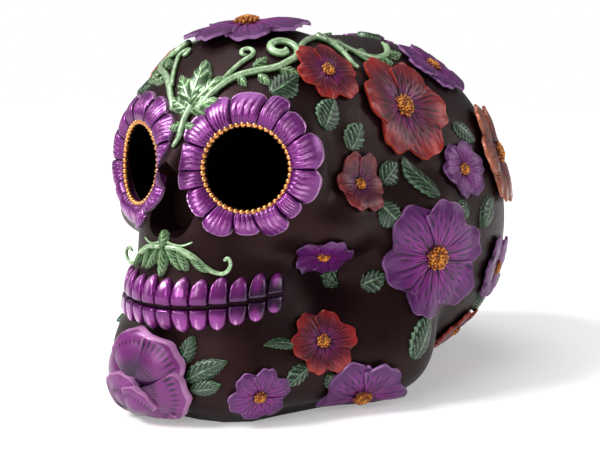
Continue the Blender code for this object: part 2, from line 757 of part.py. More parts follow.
# ---------------------------------------------------------------- assembly
def main():
    """Build every piece of the ornament."""
    tones = {
        "purple": paint("bloom_purple", (0.30, 0.06, 0.36), 0.35, 0.4),
        "red": paint("bloom_red", (0.38, 0.04, 0.07), 0.38, 0.3),
        "rose": paint("bloom_rose", (0.30, 0.06, 0.14), 0.38, 0.3),
    }
    body = paint("dark_casting", (0.012, 0.007, 0.007), 0.42)
    felt = paint("base_board", (0.02, 0.018, 0.018), 0.9)
    ring_purple = paint("ring_purple", (0.36, 0.05, 0.42), 0.28, 0.55)
    gold = paint("bead_gold", (0.62, 0.30, 0.10), 0.3, 0.9)
    tooth_purple = paint("tooth_purple", (0.38, 0.05, 0.38), 0.25, 0.6)
    mauve = paint("chin_mauve", (0.32, 0.10, 0.30), 0.35, 0.3)
    mint = paint("vine_mint", (0.35, 0.55, 0.38), 0.35, 0.3)
    green = paint("leaf_green", (0.05, 0.16, 0.08), 0.45, 0.1)

    build_shell(body)
    build_pad(felt)
    for side in (1, -1):
        build_petal_ring(side, ring_purple)
        build_bead_ring(side, gold)
        build_vine(side_name(side, "brow_vine"), BROW_VINE, side, mint)
        build_vine(side_name(side, "crown_vine"), CROWN_VINE, side, mint)
    mouth = MOUTH_LINE * STRETCH[2]
    build_teeth("upper_teeth", mouth + GAP, mouth + GAP + UPPER_TOOTH * PRESS, tooth_purple)
    build_teeth("lower_teeth", mouth - GAP - LOWER_TOOTH * PRESS, mouth - GAP, tooth_purple)
    build_moustache(mint)
    build_forehead_spray(mint)
    build_chin_bloom(mauve)
    for name, bloom in MIDDLE_BLOOMS.items():
        build_bloom(name, bloom, 1, tones[bloom.tone])
    for name, bloom in SIDE_BLOOMS.items():
        for side in (1,) if name in ONE_SIDED else (1, -1):
            build_bloom(side_name(side, name), bloom, side, tones[bloom.tone])
    for name, leaf in SIDE_LEAVES.items():
        for side in (1, -1) if name in BOTH_SIDES_LEAVES else (1,):
            build_leaf(side_name(side, name), leaf, side, green)


clear_scene()
PARTS = new_collection("flower_skull")
CUTTERS = new_collection("cutters")
main()
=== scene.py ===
"""Looks of the flower-covered skull: the painted casting and the reliefs pressed onto it.

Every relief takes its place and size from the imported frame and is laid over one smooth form
of the skull, which is fitted to the frame's shell. Metres, +Z up, the face looks along -Y.
"""
from __future__ import annotations

import json
import logging
import math
from dataclasses import dataclass, field
from enum import Enum
from functools import lru_cache
from typing import Sequence

import bmesh
import bpy
import numpy as np
from mathutils import Euler, Matrix, Vector

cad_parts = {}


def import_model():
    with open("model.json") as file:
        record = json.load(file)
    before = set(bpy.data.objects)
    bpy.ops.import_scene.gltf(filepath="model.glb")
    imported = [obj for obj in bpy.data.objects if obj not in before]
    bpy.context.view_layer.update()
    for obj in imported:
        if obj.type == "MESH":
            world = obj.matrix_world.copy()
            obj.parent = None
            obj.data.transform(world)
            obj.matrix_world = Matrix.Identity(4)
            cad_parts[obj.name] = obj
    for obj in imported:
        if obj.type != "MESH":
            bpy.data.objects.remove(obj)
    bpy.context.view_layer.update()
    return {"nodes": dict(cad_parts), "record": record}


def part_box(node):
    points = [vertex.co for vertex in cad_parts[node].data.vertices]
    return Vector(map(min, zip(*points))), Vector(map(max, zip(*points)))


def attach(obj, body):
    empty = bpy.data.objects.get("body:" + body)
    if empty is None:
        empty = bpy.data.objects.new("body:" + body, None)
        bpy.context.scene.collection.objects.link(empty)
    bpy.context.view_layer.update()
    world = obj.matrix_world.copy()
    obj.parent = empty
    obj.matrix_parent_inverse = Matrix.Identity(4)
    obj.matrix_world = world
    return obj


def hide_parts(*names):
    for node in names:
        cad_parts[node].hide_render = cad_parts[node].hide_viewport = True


LOG = logging.getLogger("flower_skull")
MM = 0.001
ROOT = "root"
Colour = tuple[float, float, float]
Bearing = tuple[float, float]


# ------------------------------------------------------------------ the skull's form
class BoneKind(Enum):
    """Kinds of rounded volume that the skull is blended from."""

    LOBE = "ellipsoid"
    BAR = "bar with round ends"
    HOOP = "round ring"


@dataclass(frozen=True)
class Bone:
    """One volume of the skull in millimetres; the -X side mirrors it.

    A lobe's span is its radii, a bar's its far end and a hoop's its axis.
    """

    kind: BoneKind
    place: tuple[float, float, float]
    span: tuple[float, float, float]
    blend: float = 0.0
    thick: float = 0.0
    reach: float = 0.0

    def distance(self, points: np.ndarray) -> np.ndarray:
        """Distance from points to this bone's surface.

        Args:
            points: (n, 3) places in millimetres.

        Returns:
            Distances in millimetres, negative inside.
        """
        offset = points - np.array(self.place)
        span = np.array(self.span)
        if self.kind is BoneKind.LOBE:
            scaled = np.linalg.norm(offset / span, axis=1)
            slope = np.linalg.norm(offset / span**2, axis=1)
            return scaled * (scaled - 1) / np.maximum(slope, 1e-9)
        if self.kind is BoneKind.BAR:
            run = span - np.array(self.place)
            along = np.clip(offset @ run / (run @ run), 0, 1)
            return np.linalg.norm(offset - along[:, None] * run, axis=1) - self.thick
        axis = span / np.linalg.norm(span)
        height = offset @ axis
        outward = np.linalg.norm(offset - height[:, None] * axis, axis=1)
        return np.hypot(outward - self.reach, height) - self.thick


EYE_PLACE = (15.6, -49.5, 64.0)
EYE_TURN = math.radians(15)
EYE_AXIS = (math.sin(EYE_TURN), -math.cos(EYE_TURN), 0.05)
CRANIUM = Bone(BoneKind.LOBE, (0, 17, 51.5), (49, 51, 48.5))
BONES = (
    Bone(BoneKind.LOBE, (0, 16, 36.5), (47.5, 51.5, 38), 13),
    Bone(BoneKind.LOBE, (0, -25, 69), (36, 34, 32), 13),
    Bone(BoneKind.BAR, (0, -55, 73), (0, -64, 63), 5, thick=3.5),
    Bone(BoneKind.LOBE, (0, -46, 46), (20, 21, 17), 8),
    Bone(BoneKind.LOBE, (26, -37, 50), (12, 12, 8.5), 7),
    Bone(BoneKind.BAR, (33, -33, 50), (44, -6, 51), 9, thick=4.5),
    Bone(BoneKind.LOBE, (0, -43, 31), (24, 27, 15), 7),
    Bone(BoneKind.LOBE, (0, -55, 13), (18, 14, 14), 9),
    Bone(BoneKind.BAR, (14, -52, 13), (34, -16, 15), 10, thick=13),
    Bone(BoneKind.BAR, (33.5, -21, 16), (38, -8, 42), 14, thick=10),
    Bone(BoneKind.LOBE, (0, -8, 15), (34, 52, 16), 8),
    Bone(BoneKind.HOOP, EYE_PLACE, EYE_AXIS, 6, thick=4.0, reach=14.5),
)
HEART_MM = np.array([0.0, -2.0, 50.0])
RAY_REACH = 160 * MM
LAY_HEIGHT = 14 * MM
EXTRA_GRIP = 0.3 * MM
GOLDEN_TURN = 2.39996


def bearing(azimuth: float, elevation: float) -> np.ndarray:
    """Unit direction from the heart; azimuth 0 is straight ahead, 90 the skull's own left.

    Args:
        azimuth: Degrees from straight ahead towards the left.
        elevation: Degrees above the level.

    Returns:
        The direction.
    """
    turn, rise = math.radians(azimuth), math.radians(elevation)
    flat = math.cos(rise)
    return np.array([math.sin(turn) * flat, -math.cos(turn) * flat, math.sin(rise)])


def cage_directions(grid: int) -> tuple[np.ndarray, list[tuple[int, ...]]]:
    """Directions of a subdivided cube's corners, spread evenly over a ball.

    Args:
        grid: Faces along each side of the cube.

    Returns:
        Unit directions and the faces that join them.
    """
    bm = bmesh.new()
    bmesh.ops.create_cube(bm, size=2)
    bmesh.ops.subdivide_edges(bm, edges=bm.edges, cuts=grid - 1, use_grid_fill=True)
    rays = np.tan(np.array([vertex.co for vertex in bm.verts]) * math.pi / 4)
    bm.verts.index_update()
    faces = [tuple(vertex.index for vertex in face.verts) for face in bm.faces]
    bm.free()
    return rays / np.linalg.norm(rays, axis=1)[:, None], faces


class SkullForm:
    """The bare skull as a distance field, stretched to fit the frame's shell."""

    def __init__(self, stretch: Sequence[float] = (1.0, 1.0, 1.0)) -> None:
        """Set the stretch along X, Y and Z."""
        self.stretch = np.array(stretch, float)
        self.heart = HEART_MM * MM * self.stretch

    @classmethod
    def fitted(cls, node: str) -> "SkullForm":
        """The form whose size is that of the frame's shell.

        Args:
            node: Name of the shell's node.

        Returns:
            The fitted form.
        """
        low, high = (np.array(corner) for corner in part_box(node))
        skin = cls().skin(cage_directions(40)[0])
        size = np.array([np.ptp(skin[:, 0]), np.ptp(skin[:, 1]), skin[:, 2].max()])
        return cls(np.array([high[0] - low[0], high[1] - low[1], high[2]]) / size)

    def distance(self, points: np.ndarray) -> np.ndarray:
        """Signed distance in metres from points to the bare skull.

        Args:
            points: (n, 3) places in metres.

        Returns:
            Distances in metres, negative inside.
        """
        folded = points / self.stretch / MM
        folded[:, 0] = np.abs(folded[:, 0])
        near = CRANIUM.distance(folded)
        for bone in BONES:
            other = bone.distance(folded)
            share = np.clip(0.5 + 0.5 * (other - near) / bone.blend, 0, 1)
            near = other * (1 - share) + near * share - bone.blend * share * (1 - share)
        return near * MM * self.stretch.min()

    def fall(self, starts: np.ndarray, rays: np.ndarray, steps: int = 48) -> np.ndarray:
        """Points where rays from outside first meet the skull.

        Args:
            starts: (n, 3) places outside.
            rays: (n, 3) unit directions.
            steps: How often each point moves.

        Returns:
            (n, 3) points on the skull.
        """
        points = np.array(starts, float)
        for _ in range(steps):
            points = points + rays * self.distance(points)[:, None]
        return points

    def normals(self, points: np.ndarray, reach: float = 1.5 * MM) -> np.ndarray:
        """Unit normals near points, averaged over a small reach.

        Args:
            points: (n, 3) places in metres.
            reach: Distance over which they are averaged.

        Returns:
            (n, 3) unit normals.
        """
        slope = np.empty_like(points)
        for axis in range(3):
            step = np.zeros(3)
            step[axis] = reach
            slope[:, axis] = self.distance(points + step) - self.distance(points - step)
        return slope / np.linalg.norm(slope, axis=1)[:, None]

    def skin(self, directions: np.ndarray, steps: int = 60) -> np.ndarray:
        """Points of the skull in the given directions from the heart."""
        return self.fall(self.heart + directions * RAY_REACH, -directions, steps)

    def settle(self, points: np.ndarray, lift: float = 0.0) -> np.ndarray:
        """Points moved along the normal onto the skull, or to a height over it."""
        for _ in range(3):
            points = points - self.normals(points) * (self.distance(points) - lift)[:, None]
        return points

    def route(self, marks: Sequence[Bearing], side: int, step: float = 0.8 * MM) -> np.ndarray:
        """A smooth path over the skull through marks.

        Args:
            marks: Azimuth and elevation of each mark, for the skull's own left.
            side: 1 for the left, -1 for the right.
            step: Distance between the path's points.

        Returns:
            (n, 3) points on the skull.
        """
        rays = np.array([bearing(side * azimuth, elevation) for azimuth, elevation in marks])
        fine = np.array([curve_point(rays, share) for share in np.linspace(0, 1, 120)])
        skin = self.skin(fine / np.linalg.norm(fine, axis=1)[:, None], 40)
        return respaced(skin, step)


def curve_point(marks: np.ndarray, share: float) -> np.ndarray:
    """Catmull-Rom point along marks; share runs from 0 to 1.

    Args:
        marks: (n, d) places that the curve runs through.
        share: How far along it.

    Returns:
        The point.
    """
    place = share * (len(marks) - 1)
    first = min(int(place), len(marks) - 2)
    part = place - first
    before, start = marks[max(first - 1, 0)], marks[first]
    end, after = marks[first + 1], marks[min(first + 2, len(marks) - 1)]
    return 0.5 * (2 * start + (end - before) * part
                  + (2 * before - 5 * start + 4 * end - after) * part**2
                  + (3 * start - before - 3 * end + after) * part**3)


def respaced(path: np.ndarray, step: float) -> np.ndarray:
    """The same path with points a step apart.

    Args:
        path: (n, 3) points.
        step: Distance wanted between points.

    Returns:
        The new points.
    """
    travel = np.concatenate([[0], np.cumsum(np.linalg.norm(np.diff(path, axis=0), axis=1))])
    wanted = np.linspace(0, travel[-1], max(4, round(travel[-1] / step)) + 1)
    return np.stack([np.interp(wanted, travel, path[:, axis]) for axis in range(3)], axis=1)


def unit(vector: np.ndarray) -> np.ndarray:
    """The vector at length 1."""
    return vector / np.linalg.norm(vector)


@dataclass
class Seat:
    """A place on the skull with its directions across, up and out."""

    form: SkullForm
    point: np.ndarray
    across: np.ndarray
    up: np.ndarray
    out: np.ndarray
    deepest: float = 5 * MM

    def lay(self, flat: np.ndarray, lift: np.ndarray | float, flatness: float = 0.0) -> np.ndarray:
        """Points over the seat, lifted off the skull.

        Args:
            flat: (..., 2) places across and up, in metres.
            lift: Height over the skull at each place.
            flatness: Share by which the skull's fall away from the seat's plane is ignored.

        Returns:
            (..., 3) points.
        """
        shape = flat.shape[:-1]
        spots = flat.reshape(-1, 2) @ np.stack([self.across, self.up]) + self.point
        rays = np.tile(-self.out, (len(spots), 1))
        skin = self.form.fall(spots - rays * LAY_HEIGHT, rays, 36)
        sag = (spots - skin) @ self.out
        extra = np.maximum(sag - self.deepest, 0) + flatness * np.clip(sag, 0, self.deepest)
        height = np.broadcast_to(lift, shape).reshape(-1) + extra
        return (skin + height[:, None] * self.out).reshape(*shape, 3)

    def turned(self, angle: float) -> "Seat":
        """The seat turned about its normal by an angle in radians."""
        across = self.across * math.cos(angle) + self.up * math.sin(angle)
        return Seat(self.form, self.point, across, np.cross(self.out, across), self.out)


def seat_toward(form: SkullForm, point: np.ndarray, out: np.ndarray) -> Seat:
    """A seat at a point, its up axis as near to +Z as its normal allows.

    Args:
        form: The skull it lies on.
        point: Place of the seat.
        out: Its outward direction, of any length.

    Returns:
        The seat.
    """
    out = unit(out)
    guide = np.array([0, 0, 1.0]) if abs(out[2]) < 0.9 else np.array([0, 1.0, 0])
    across = unit(np.cross(guide, out))
    return Seat(form, point, across, np.cross(out, across), out)


def node_points(node: str) -> np.ndarray:
    """Corners of a frame node's mesh.

    Args:
        node: Name of the frame's node.

    Returns:
        (n, 3) corners.
    """
    mesh = bpy.data.objects[node].data
    flat = np.empty(len(mesh.vertices) * 3, np.float32)
    mesh.vertices.foreach_get("co", flat)
    return flat.reshape(-1, 3).astype(float)


def main_axes(node: str, heart: np.ndarray) -> tuple[np.ndarray, np.ndarray, np.ndarray]:
    """Middle, longest axis and outward normal of a flat node, each face by its area.

    Args:
        node: Name of the frame's node.
        heart: Place that the normal points away from.

    Returns:
        The middle, the longest axis and the normal.
    """
    faces = bpy.data.objects[node].data.polygons
    centres = np.array([face.center for face in faces])
    areas = np.array([face.area for face in faces])
    middle = areas @ centres / areas.sum()
    _, _, axes = np.linalg.svd((centres - middle) * np.sqrt(areas)[:, None], full_matrices=False)
    out = axes[2] * (1 if axes[2] @ (middle - heart) > 0 else -1)
    return middle, axes[0], out


# ------------------------------------------------------------------ mesh gathering
def linked(name: str, data: bpy.types.ID) -> bpy.types.Object:
    """Make an object and link it to the scene.

    Args:
        name: The object's name.
        data: Its mesh, light or camera.

    Returns:
        The object.
    """
    made = bpy.data.objects.new(name, data)
    bpy.context.scene.collection.objects.link(made)
    return made


def mesh_from(name: str, bm: bmesh.types.BMesh) -> bpy.types.Mesh:
    """Make a mesh from a bmesh.

    Args:
        name: The mesh's name.
        bm: Its shape, which is freed.

    Returns:
        The mesh.
    """
    mesh = bpy.data.meshes.new(name)
    bm.to_mesh(mesh)
    bm.free()
    return mesh


def cut_below(mesh: bpy.types.Mesh, level: float, recalculate: bool = False) -> None:
    """Cut a closed mesh off flat at a level and close it again.

    Args:
        mesh: The mesh, which is changed.
        level: Height of the cut.
        recalculate: Whether its faces are first turned to point out.
    """
    bm = bmesh.new()
    bm.from_mesh(mesh)
    if recalculate:
        bmesh.ops.recalc_face_normals(bm, faces=bm.faces)
    sliced = bmesh.ops.bisect_plane(
        bm, geom=bm.verts[:] + bm.edges[:] + bm.faces[:], plane_co=(0, 0, level),
        plane_no=(0, 0, 1), clear_inner=True)
    rim = [part for part in sliced["geom_cut"] if isinstance(part, bmesh.types.BMEdge)]
    bmesh.ops.holes_fill(bm, edges=rim)
    bm.to_mesh(mesh)
    bm.free()


def lattice(grid: np.ndarray) -> np.ndarray:
    """Four-sided faces that join a grid of corner numbers."""
    quads = np.stack([grid[:-1, :-1], grid[1:, :-1], grid[1:, 1:], grid[:-1, 1:]], -1)
    return quads.reshape(-1, 4)


def blade_grid(rows: int, columns: int) -> tuple[np.ndarray, np.ndarray]:
    """Places along a petal or leaf, 0 to 1, and across it, -1 to 1."""
    return np.linspace(0, 1, rows)[:, None], np.linspace(-1, 1, columns)[None, :]


class Relief:
    """Gathers closed sheets, tubes and balls into one mesh with painting guides.

    The guides are vertex attributes: tone runs from foot to tip, ridge is how raised a
    place is and where it takes painted highlight (high) or painted shade (low), rim is how
    near it is to an edge and lane is how far across it lies.
    """

    GUIDES = ("tone", "ridge", "rim", "lane")

    def __init__(self) -> None:
        """Start empty."""
        self.points: list[np.ndarray] = []
        self.faces: list[list[int]] = []
        self.guides: dict[str, list[np.ndarray]] = {name: [] for name in self.GUIDES}
        self.count = 0

    def add(self, points: np.ndarray, faces: np.ndarray, *guides: np.ndarray | float) -> None:
        """Add points, the faces that join them, and the guides in their usual order.

        Args:
            points: (n, 3) corners.
            faces: (m, k) numbers of the corners of each face.
            guides: A value for all corners, or one for each.
        """
        self.points.append(points)
        self.faces.extend((faces + self.count).tolist())
        for name, values in zip(self.GUIDES, guides):
            self.guides[name].append(np.broadcast_to(values, len(points)).astype(np.float32))
        self.count += len(points)

    def sheet(self, top: np.ndarray, bottom: np.ndarray, *guides: np.ndarray,
              closed: bool = False) -> None:
        """Add a thick sheet.

        Args:
            top: (rows, columns, 3) upper side.
            bottom: The same for the underside.
            guides: (rows, columns) values of each guide.
            closed: Whether the last column joins the first.
        """
        rows, columns = top.shape[:2]
        grid = np.arange(rows * columns).reshape(rows, columns)
        if closed:
            grid = np.concatenate([grid, grid[:, :1]], axis=1)
        quads = lattice(grid)
        under = rows * columns
        runs = [grid[0], grid[-1][::-1]]
        if not closed:
            runs += [grid[:, -1], grid[::-1, 0]]
        walls = [np.stack([run[:-1], run[1:], run[1:] + under, run[:-1] + under], -1)
                 for run in runs]
        faces = np.concatenate([quads, quads[:, ::-1] + under, *walls])
        points = np.concatenate([top.reshape(-1, 3), bottom.reshape(-1, 3)])
        doubled = [np.tile(values.reshape(-1), 2) for values in guides]
        self.add(points, faces, *doubled)

    def tube(self, path: np.ndarray, radii: np.ndarray, form: SkullForm, sides: int = 10,
             sink: float = 0.25) -> None:
        """Add a tapering tube that lies on the skull along a path.

        Args:
            path: (n, 3) points on the skull.
            radii: Radius at each point.
            form: The skull it lies on.
            sides: Faces round the tube.
            sink: Share of the radius that is sunk into the skull.
        """
        out = form.normals(path)
        ahead = np.gradient(path, axis=0)
        ahead = ahead / np.linalg.norm(ahead, axis=1)[:, None]
        beside = np.cross(ahead, out)
        beside = beside / np.linalg.norm(beside, axis=1)[:, None]
        middle = path + out * (radii * (1 - sink))[:, None]
        angles = 2 * math.pi * np.arange(sides) / sides
        ring = (np.cos(angles)[None, :, None] * beside[:, None]
                + np.sin(angles)[None, :, None] * out[:, None])
        body = middle[:, None] + ring * radii[:, None, None]
        ends = np.stack([middle[0] - ahead[0] * radii[0] * 0.7,
                         middle[-1] + ahead[-1] * radii[-1] * 0.7])
        count = len(path)
        grid = np.arange(count * sides).reshape(count, sides)
        grid = np.concatenate([grid, grid[:, :1]], axis=1)
        tone = np.repeat(np.linspace(0, 1, count), sides)
        # ridge is highest on the tube's top, away from the skull: painted highlight along the top,
        # painted shade underneath.
        ridge = np.tile(np.sin(angles), count)
        self.add(np.concatenate([body.reshape(-1, 3), ends]), lattice(grid),
                 np.append(tone, [0, 1]), np.append(ridge, [0, 0]), 0.0,
                 np.append(np.tile(angles, count), [0, 0]))
        base = self.count - count * sides - 2
        for row, tip in ((0, count * sides), (count - 1, count * sides + 1)):
            for here in range(sides):
                pair = [int(grid[row, here]), int(grid[row, here + 1])]
                self.faces.append([base + index for index in (*pair, tip)])

    def ball(self, centre: np.ndarray, axes: np.ndarray, *guides: float) -> None:
        """Add a ball at centre, its (3, 3) axes giving direction and radius."""
        points, faces = ball_template()
        self.add(points @ axes + centre, faces, *guides)

    def build(self, name: str, material: bpy.types.Material, crease: float = 55) -> bpy.types.Object:
        """Make the gathered mesh an object.

        Args:
            name: The piece's name.
            material: Its material.
            crease: Angle in degrees above which an edge stays sharp.

        Returns:
            The new object, linked to the scene.
        """
        mesh = bpy.data.meshes.new(name)
        mesh.from_pydata(np.concatenate(self.points).tolist(), [], self.faces)
        for guide, values in self.guides.items():
            layer = mesh.attributes.new(guide, "FLOAT", "POINT")
            layer.data.foreach_set("value", np.concatenate(values))
        bm = bmesh.new()
        bm.from_mesh(mesh)
        bmesh.ops.recalc_face_normals(bm, faces=bm.faces)
        bm.to_mesh(mesh)
        bm.free()
        mesh.shade_smooth()
        mesh.set_sharp_from_angle(angle=math.radians(crease))
        mesh.materials.append(material)
        return linked(name, mesh)


@lru_cache(maxsize=1)
def ball_template() -> tuple[np.ndarray, np.ndarray]:
    """Corners and faces of a unit ball, made once.

    Returns:
        The (n, 3) corners and the (m, 3) faces.
    """
    bm = bmesh.new()
    bmesh.ops.create_icosphere(bm, subdivisions=2, radius=1)
    points = np.array([vertex.co for vertex in bm.verts])
    bm.verts.index_update()
    faces = np.array([[vertex.index for vertex in face.verts] for face in bm.faces])
    bm.free()
    return points, faces


def place(piece: bpy.types.Object, slot: str, *nodes: str) -> bpy.types.Object:
    """Ride a piece on the object and hide the frame nodes it stands for.

    Args:
        piece: The piece.
        slot: Its material slot in the record; not used.
        nodes: The frame nodes that it stands for.

    Returns:
        The same piece.
    """
    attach(piece, ROOT)
    if nodes:
        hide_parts(*nodes)
    return piece


# ------------------------------------------------------------------ shader tools
class Graph:
    """A small hand for building shader node trees."""

    def __init__(self, tree: bpy.types.NodeTree) -> None:
        """Work on one tree."""
        self.tree = tree

    def node(self, kind: str, inputs: dict | None = None, **settings: object) -> bpy.types.Node:
        """Add a node.

        Args:
            kind: The node's type name.
            inputs: Socket name or number to a value or another socket.
            settings: Attributes of the node.

        Returns:
            The node.
        """
        made = self.tree.nodes.new(kind)
        for name, value in settings.items():
            setattr(made, name, value)
        for key, value in (inputs or {}).items():
            if isinstance(value, bpy.types.NodeSocket):
                self.tree.links.new(value, made.inputs[key])
            else:
                made.inputs[key].default_value = value
        return made

    def shared(self, tree: bpy.types.NodeTree, **values: object) -> bpy.types.Node:
        """A node group's node, with values or sockets for its inputs."""
        return self.node("ShaderNodeGroup", values, node_tree=tree)

    def math(self, operation: str, first: object, second: object = 0.0,
             clamp: bool = False) -> bpy.types.NodeSocket:
        """A Math node's result.

        Args:
            operation: Name of the operation.
            first: A value or socket.
            second: A value or socket.
            clamp: Whether the result stays in 0 to 1.

        Returns:
            The result.
        """
        made = self.node("ShaderNodeMath", {0: first, 1: second}, operation=operation)
        made.use_clamp = clamp
        return made.outputs[0]

    def mix(self, share: object, first: object, second: object,
            blend: str = "MIX") -> bpy.types.NodeSocket:
        """A colour mix's result.

        Args:
            share: How much of the second, a value or socket.
            first: A colour or socket.
            second: A colour or socket.
            blend: How they are blended.

        Returns:
            The mixed colour.
        """
        made = self.node("ShaderNodeMix", data_type="RGBA", blend_type=blend)
        for index, value in ((0, share), (6, first), (7, second)):
            if isinstance(value, bpy.types.NodeSocket):
                self.tree.links.new(value, made.inputs[index])
            else:
                made.inputs[index].default_value = value
        return made.outputs[2]

    def ramp(self, value: bpy.types.NodeSocket, low: float, high: float) -> bpy.types.NodeSocket:
        """A value rescaled so that low becomes 0 and high becomes 1, clamped."""
        made = self.node("ShaderNodeMapRange", {0: value, 1: low, 2: high},
                         interpolation_type="SMOOTHSTEP")
        return made.outputs[0]

    def noise(self, where: bpy.types.NodeSocket, scale: object,
              detail: float = 3) -> bpy.types.NodeSocket:
        """A noise value at a place."""
        made = self.node("ShaderNodeTexNoise", {"Vector": where, "Scale": scale, "Detail": detail})
        return made.outputs["Fac"]


def rgba(colour: Colour) -> tuple[float, float, float, float]:
    """The colour with full opacity."""
    return (*colour, 1.0)


def new_group(name: str, inputs: dict[str, str], outputs: dict[str, str]
              ) -> tuple[Graph, bpy.types.Node, bpy.types.Node]:
    """Start a shader node group with named sockets.

    Args:
        name: The group's name.
        inputs: Input name to socket type.
        outputs: The same for outputs.

    Returns:
        Its graph, its input node and its output node.
    """
    tree = bpy.data.node_groups.new(name, "ShaderNodeTree")
    for label, kind in inputs.items():
        tree.interface.new_socket(label, in_out="INPUT", socket_type="NodeSocket" + kind)
    for label, kind in outputs.items():
        tree.interface.new_socket(label, in_out="OUTPUT", socket_type="NodeSocket" + kind)
    graph = Graph(tree)
    return graph, graph.node("NodeGroupInput"), graph.node("NodeGroupOutput")


class PaintGroups:
    """The effects that several finishes share, each built once."""

    def __init__(self) -> None:
        """Build the groups."""
        self.wash = self._wash()
        self.dry_brush_and_highlight = self._dry_brush()
        self.grain = self._grain()

    def _wash(self) -> bpy.types.NodeTree:
        """Uneven hand-laid colour: a base mottled towards a second colour.

        Returns:
            The group.
        """
        graph, given, made = new_group(
            "paint_wash", {"Base": "Color", "Second": "Color", "Scale": "Float", "Amount": "Float"},
            {"Color": "Color"})
        where = graph.node("ShaderNodeTexCoord").outputs["Object"]
        patches = graph.ramp(graph.noise(where, given.outputs["Scale"], 4), 0.35, 0.7)
        share = graph.math("MULTIPLY", patches, given.outputs["Amount"])
        colour = graph.mix(share, given.outputs["Base"], given.outputs["Second"])
        graph.tree.links.new(colour, made.inputs["Color"])
        return graph.tree

    def _dry_brush(self) -> bpy.types.NodeTree:
        """Painted highlight laid over raised places, partly pale dry-brushed paint, broken up by the
        brush.

        Returns:
            The group.
        """
        graph, given, made = new_group(
            "dry_brush_and_highlight",
            {"Base": "Color", "Brush": "Color", "Ridge": "Float", "Lane": "Float",
             "Tone": "Float", "Start": "Float", "Amount": "Float", "Scale": "Float"},
            {"Color": "Color", "Mask": "Float"})
        where = graph.node("ShaderNodeTexCoord").outputs["Object"]
        lanes = graph.node("ShaderNodeCombineXYZ", {
            "X": given.outputs["Lane"], "Y": graph.math("MULTIPLY", given.outputs["Tone"], 0.12)})
        strokes = graph.noise(lanes.outputs[0], given.outputs["Scale"], 2)
        speckle = graph.noise(where, 900.0, 4)
        streaks = graph.math("ADD", strokes, graph.math("MULTIPLY", speckle, 0.5))
        streaks = graph.ramp(streaks, 0.55, 0.95)
        # Painted highlight where the ridge guide is high.
        raised = graph.math("SUBTRACT", given.outputs["Ridge"], given.outputs["Start"])
        raised = graph.math("MULTIPLY", raised, 3.0, clamp=True)
        mask = graph.math("MULTIPLY", raised, streaks)
        mask = graph.math("MULTIPLY", mask, given.outputs["Amount"], clamp=True)
        colour = graph.mix(mask, given.outputs["Base"], given.outputs["Brush"])
        graph.tree.links.new(colour, made.inputs["Color"])
        graph.tree.links.new(mask, made.inputs["Mask"])
        return graph.tree

    def _grain(self) -> bpy.types.NodeTree:
        """Fine surface of painted resin: a bumped normal and an uneven roughness.

        Returns:
            The group.
        """
        graph, given, made = new_group(
            "cast_grain",
            {"Scale": "Float", "Depth": "Float", "Roughness": "Float", "Spread": "Float"},
            {"Normal": "Vector", "Roughness": "Float"})
        where = graph.node("ShaderNodeTexCoord").outputs["Object"]
        fine = graph.noise(where, given.outputs["Scale"], 6)
        broad = graph.noise(where, graph.math("MULTIPLY", given.outputs["Scale"], 0.12), 2)
        height = graph.math("ADD", graph.math("MULTIPLY", fine, 0.35), broad)
        bump = graph.node("ShaderNodeBump", {
            "Strength": given.outputs["Depth"], "Distance": 0.4 * MM, "Height": height})
        swing = graph.math("MULTIPLY", graph.math("SUBTRACT", fine, 0.5), given.outputs["Spread"])
        rough = graph.math("ADD", given.outputs["Roughness"], swing, clamp=True)
        graph.tree.links.new(bump.outputs["Normal"], made.inputs["Normal"])
        graph.tree.links.new(rough, made.inputs["Roughness"])
        return graph.tree


@dataclass(frozen=True)
class Finish:
    """A hand-painted finish, from the colour at the foot to painted highlights on top, with painted
    shade in creases.
    """

    name: str
    foot: Colour
    middle: Colour
    tip: Colour
    # crease: painted shade, laid where the ridge guide is low: creases, seams and grooves.
    crease: Colour
    # glint: painted highlight where the ridge guide is high; on the leaves partly pale dry-brushed
    # paint.
    glint: Colour
    rim: Colour
    glint_start: float = 0.35
    glint_amount: float = 0.7
    rim_amount: float = 0.7
    middle_at: float = 0.5
    strokes: float = 7.0
    roughness: float = 0.34
    metallic: float = 0.25
    coat: float = 0.2
    grain_scale: float = 900.0
    grain_depth: float = 0.12

    def build(self, groups: PaintGroups) -> bpy.types.Material:
        """Make the material.

        Args:
            groups: The shared paint effects.

        Returns:
            The material.
        """
        material = bpy.data.materials.new(self.name)
        material.use_nodes = True
        graph = Graph(material.node_tree)
        shader = material.node_tree.nodes["Principled BSDF"]
        tone, ridge, rim, lane = (
            graph.node("ShaderNodeAttribute", attribute_name=guide).outputs["Fac"]
            for guide in Relief.GUIDES)
        early = graph.mix(graph.ramp(tone, 0.0, self.middle_at), rgba(self.foot), rgba(self.middle))
        late = graph.mix(graph.ramp(tone, self.middle_at, 0.95), early, rgba(self.tip))
        dark = tuple(0.4 * part for part in self.middle)
        washed = graph.shared(groups.wash, Base=late, Second=rgba(dark), Scale=170.0, Amount=0.6)
        # Painted shade: the crease colour where the ridge guide is low.
        sunk = graph.ramp(graph.math("MULTIPLY", ridge, -1.0), -0.1, 0.6)
        crease_shaded = graph.mix(sunk, washed.outputs["Color"], rgba(self.crease))
        # Painted highlight, partly pale dry-brushed paint, on raised places.
        brushed_and_highlit = graph.shared(
            groups.dry_brush_and_highlight, Base=crease_shaded, Brush=rgba(self.glint), Ridge=ridge, Lane=lane,
            Tone=tone, Start=self.glint_start, Amount=self.glint_amount, Scale=self.strokes)
        edge = graph.math("MULTIPLY", graph.ramp(rim, 0.45, 1.0), self.rim_amount)
        colour = graph.mix(edge, brushed_and_highlit.outputs["Color"], rgba(self.rim))
        graph.tree.links.new(colour, shader.inputs["Base Color"])
        add_grain(graph, shader, groups, self.grain_scale, self.grain_depth, self.roughness)
        shader.inputs["Metallic"].default_value = self.metallic
        shader.inputs["Coat Weight"].default_value = self.coat
        shader.inputs["Coat Roughness"].default_value = 0.25
        return material


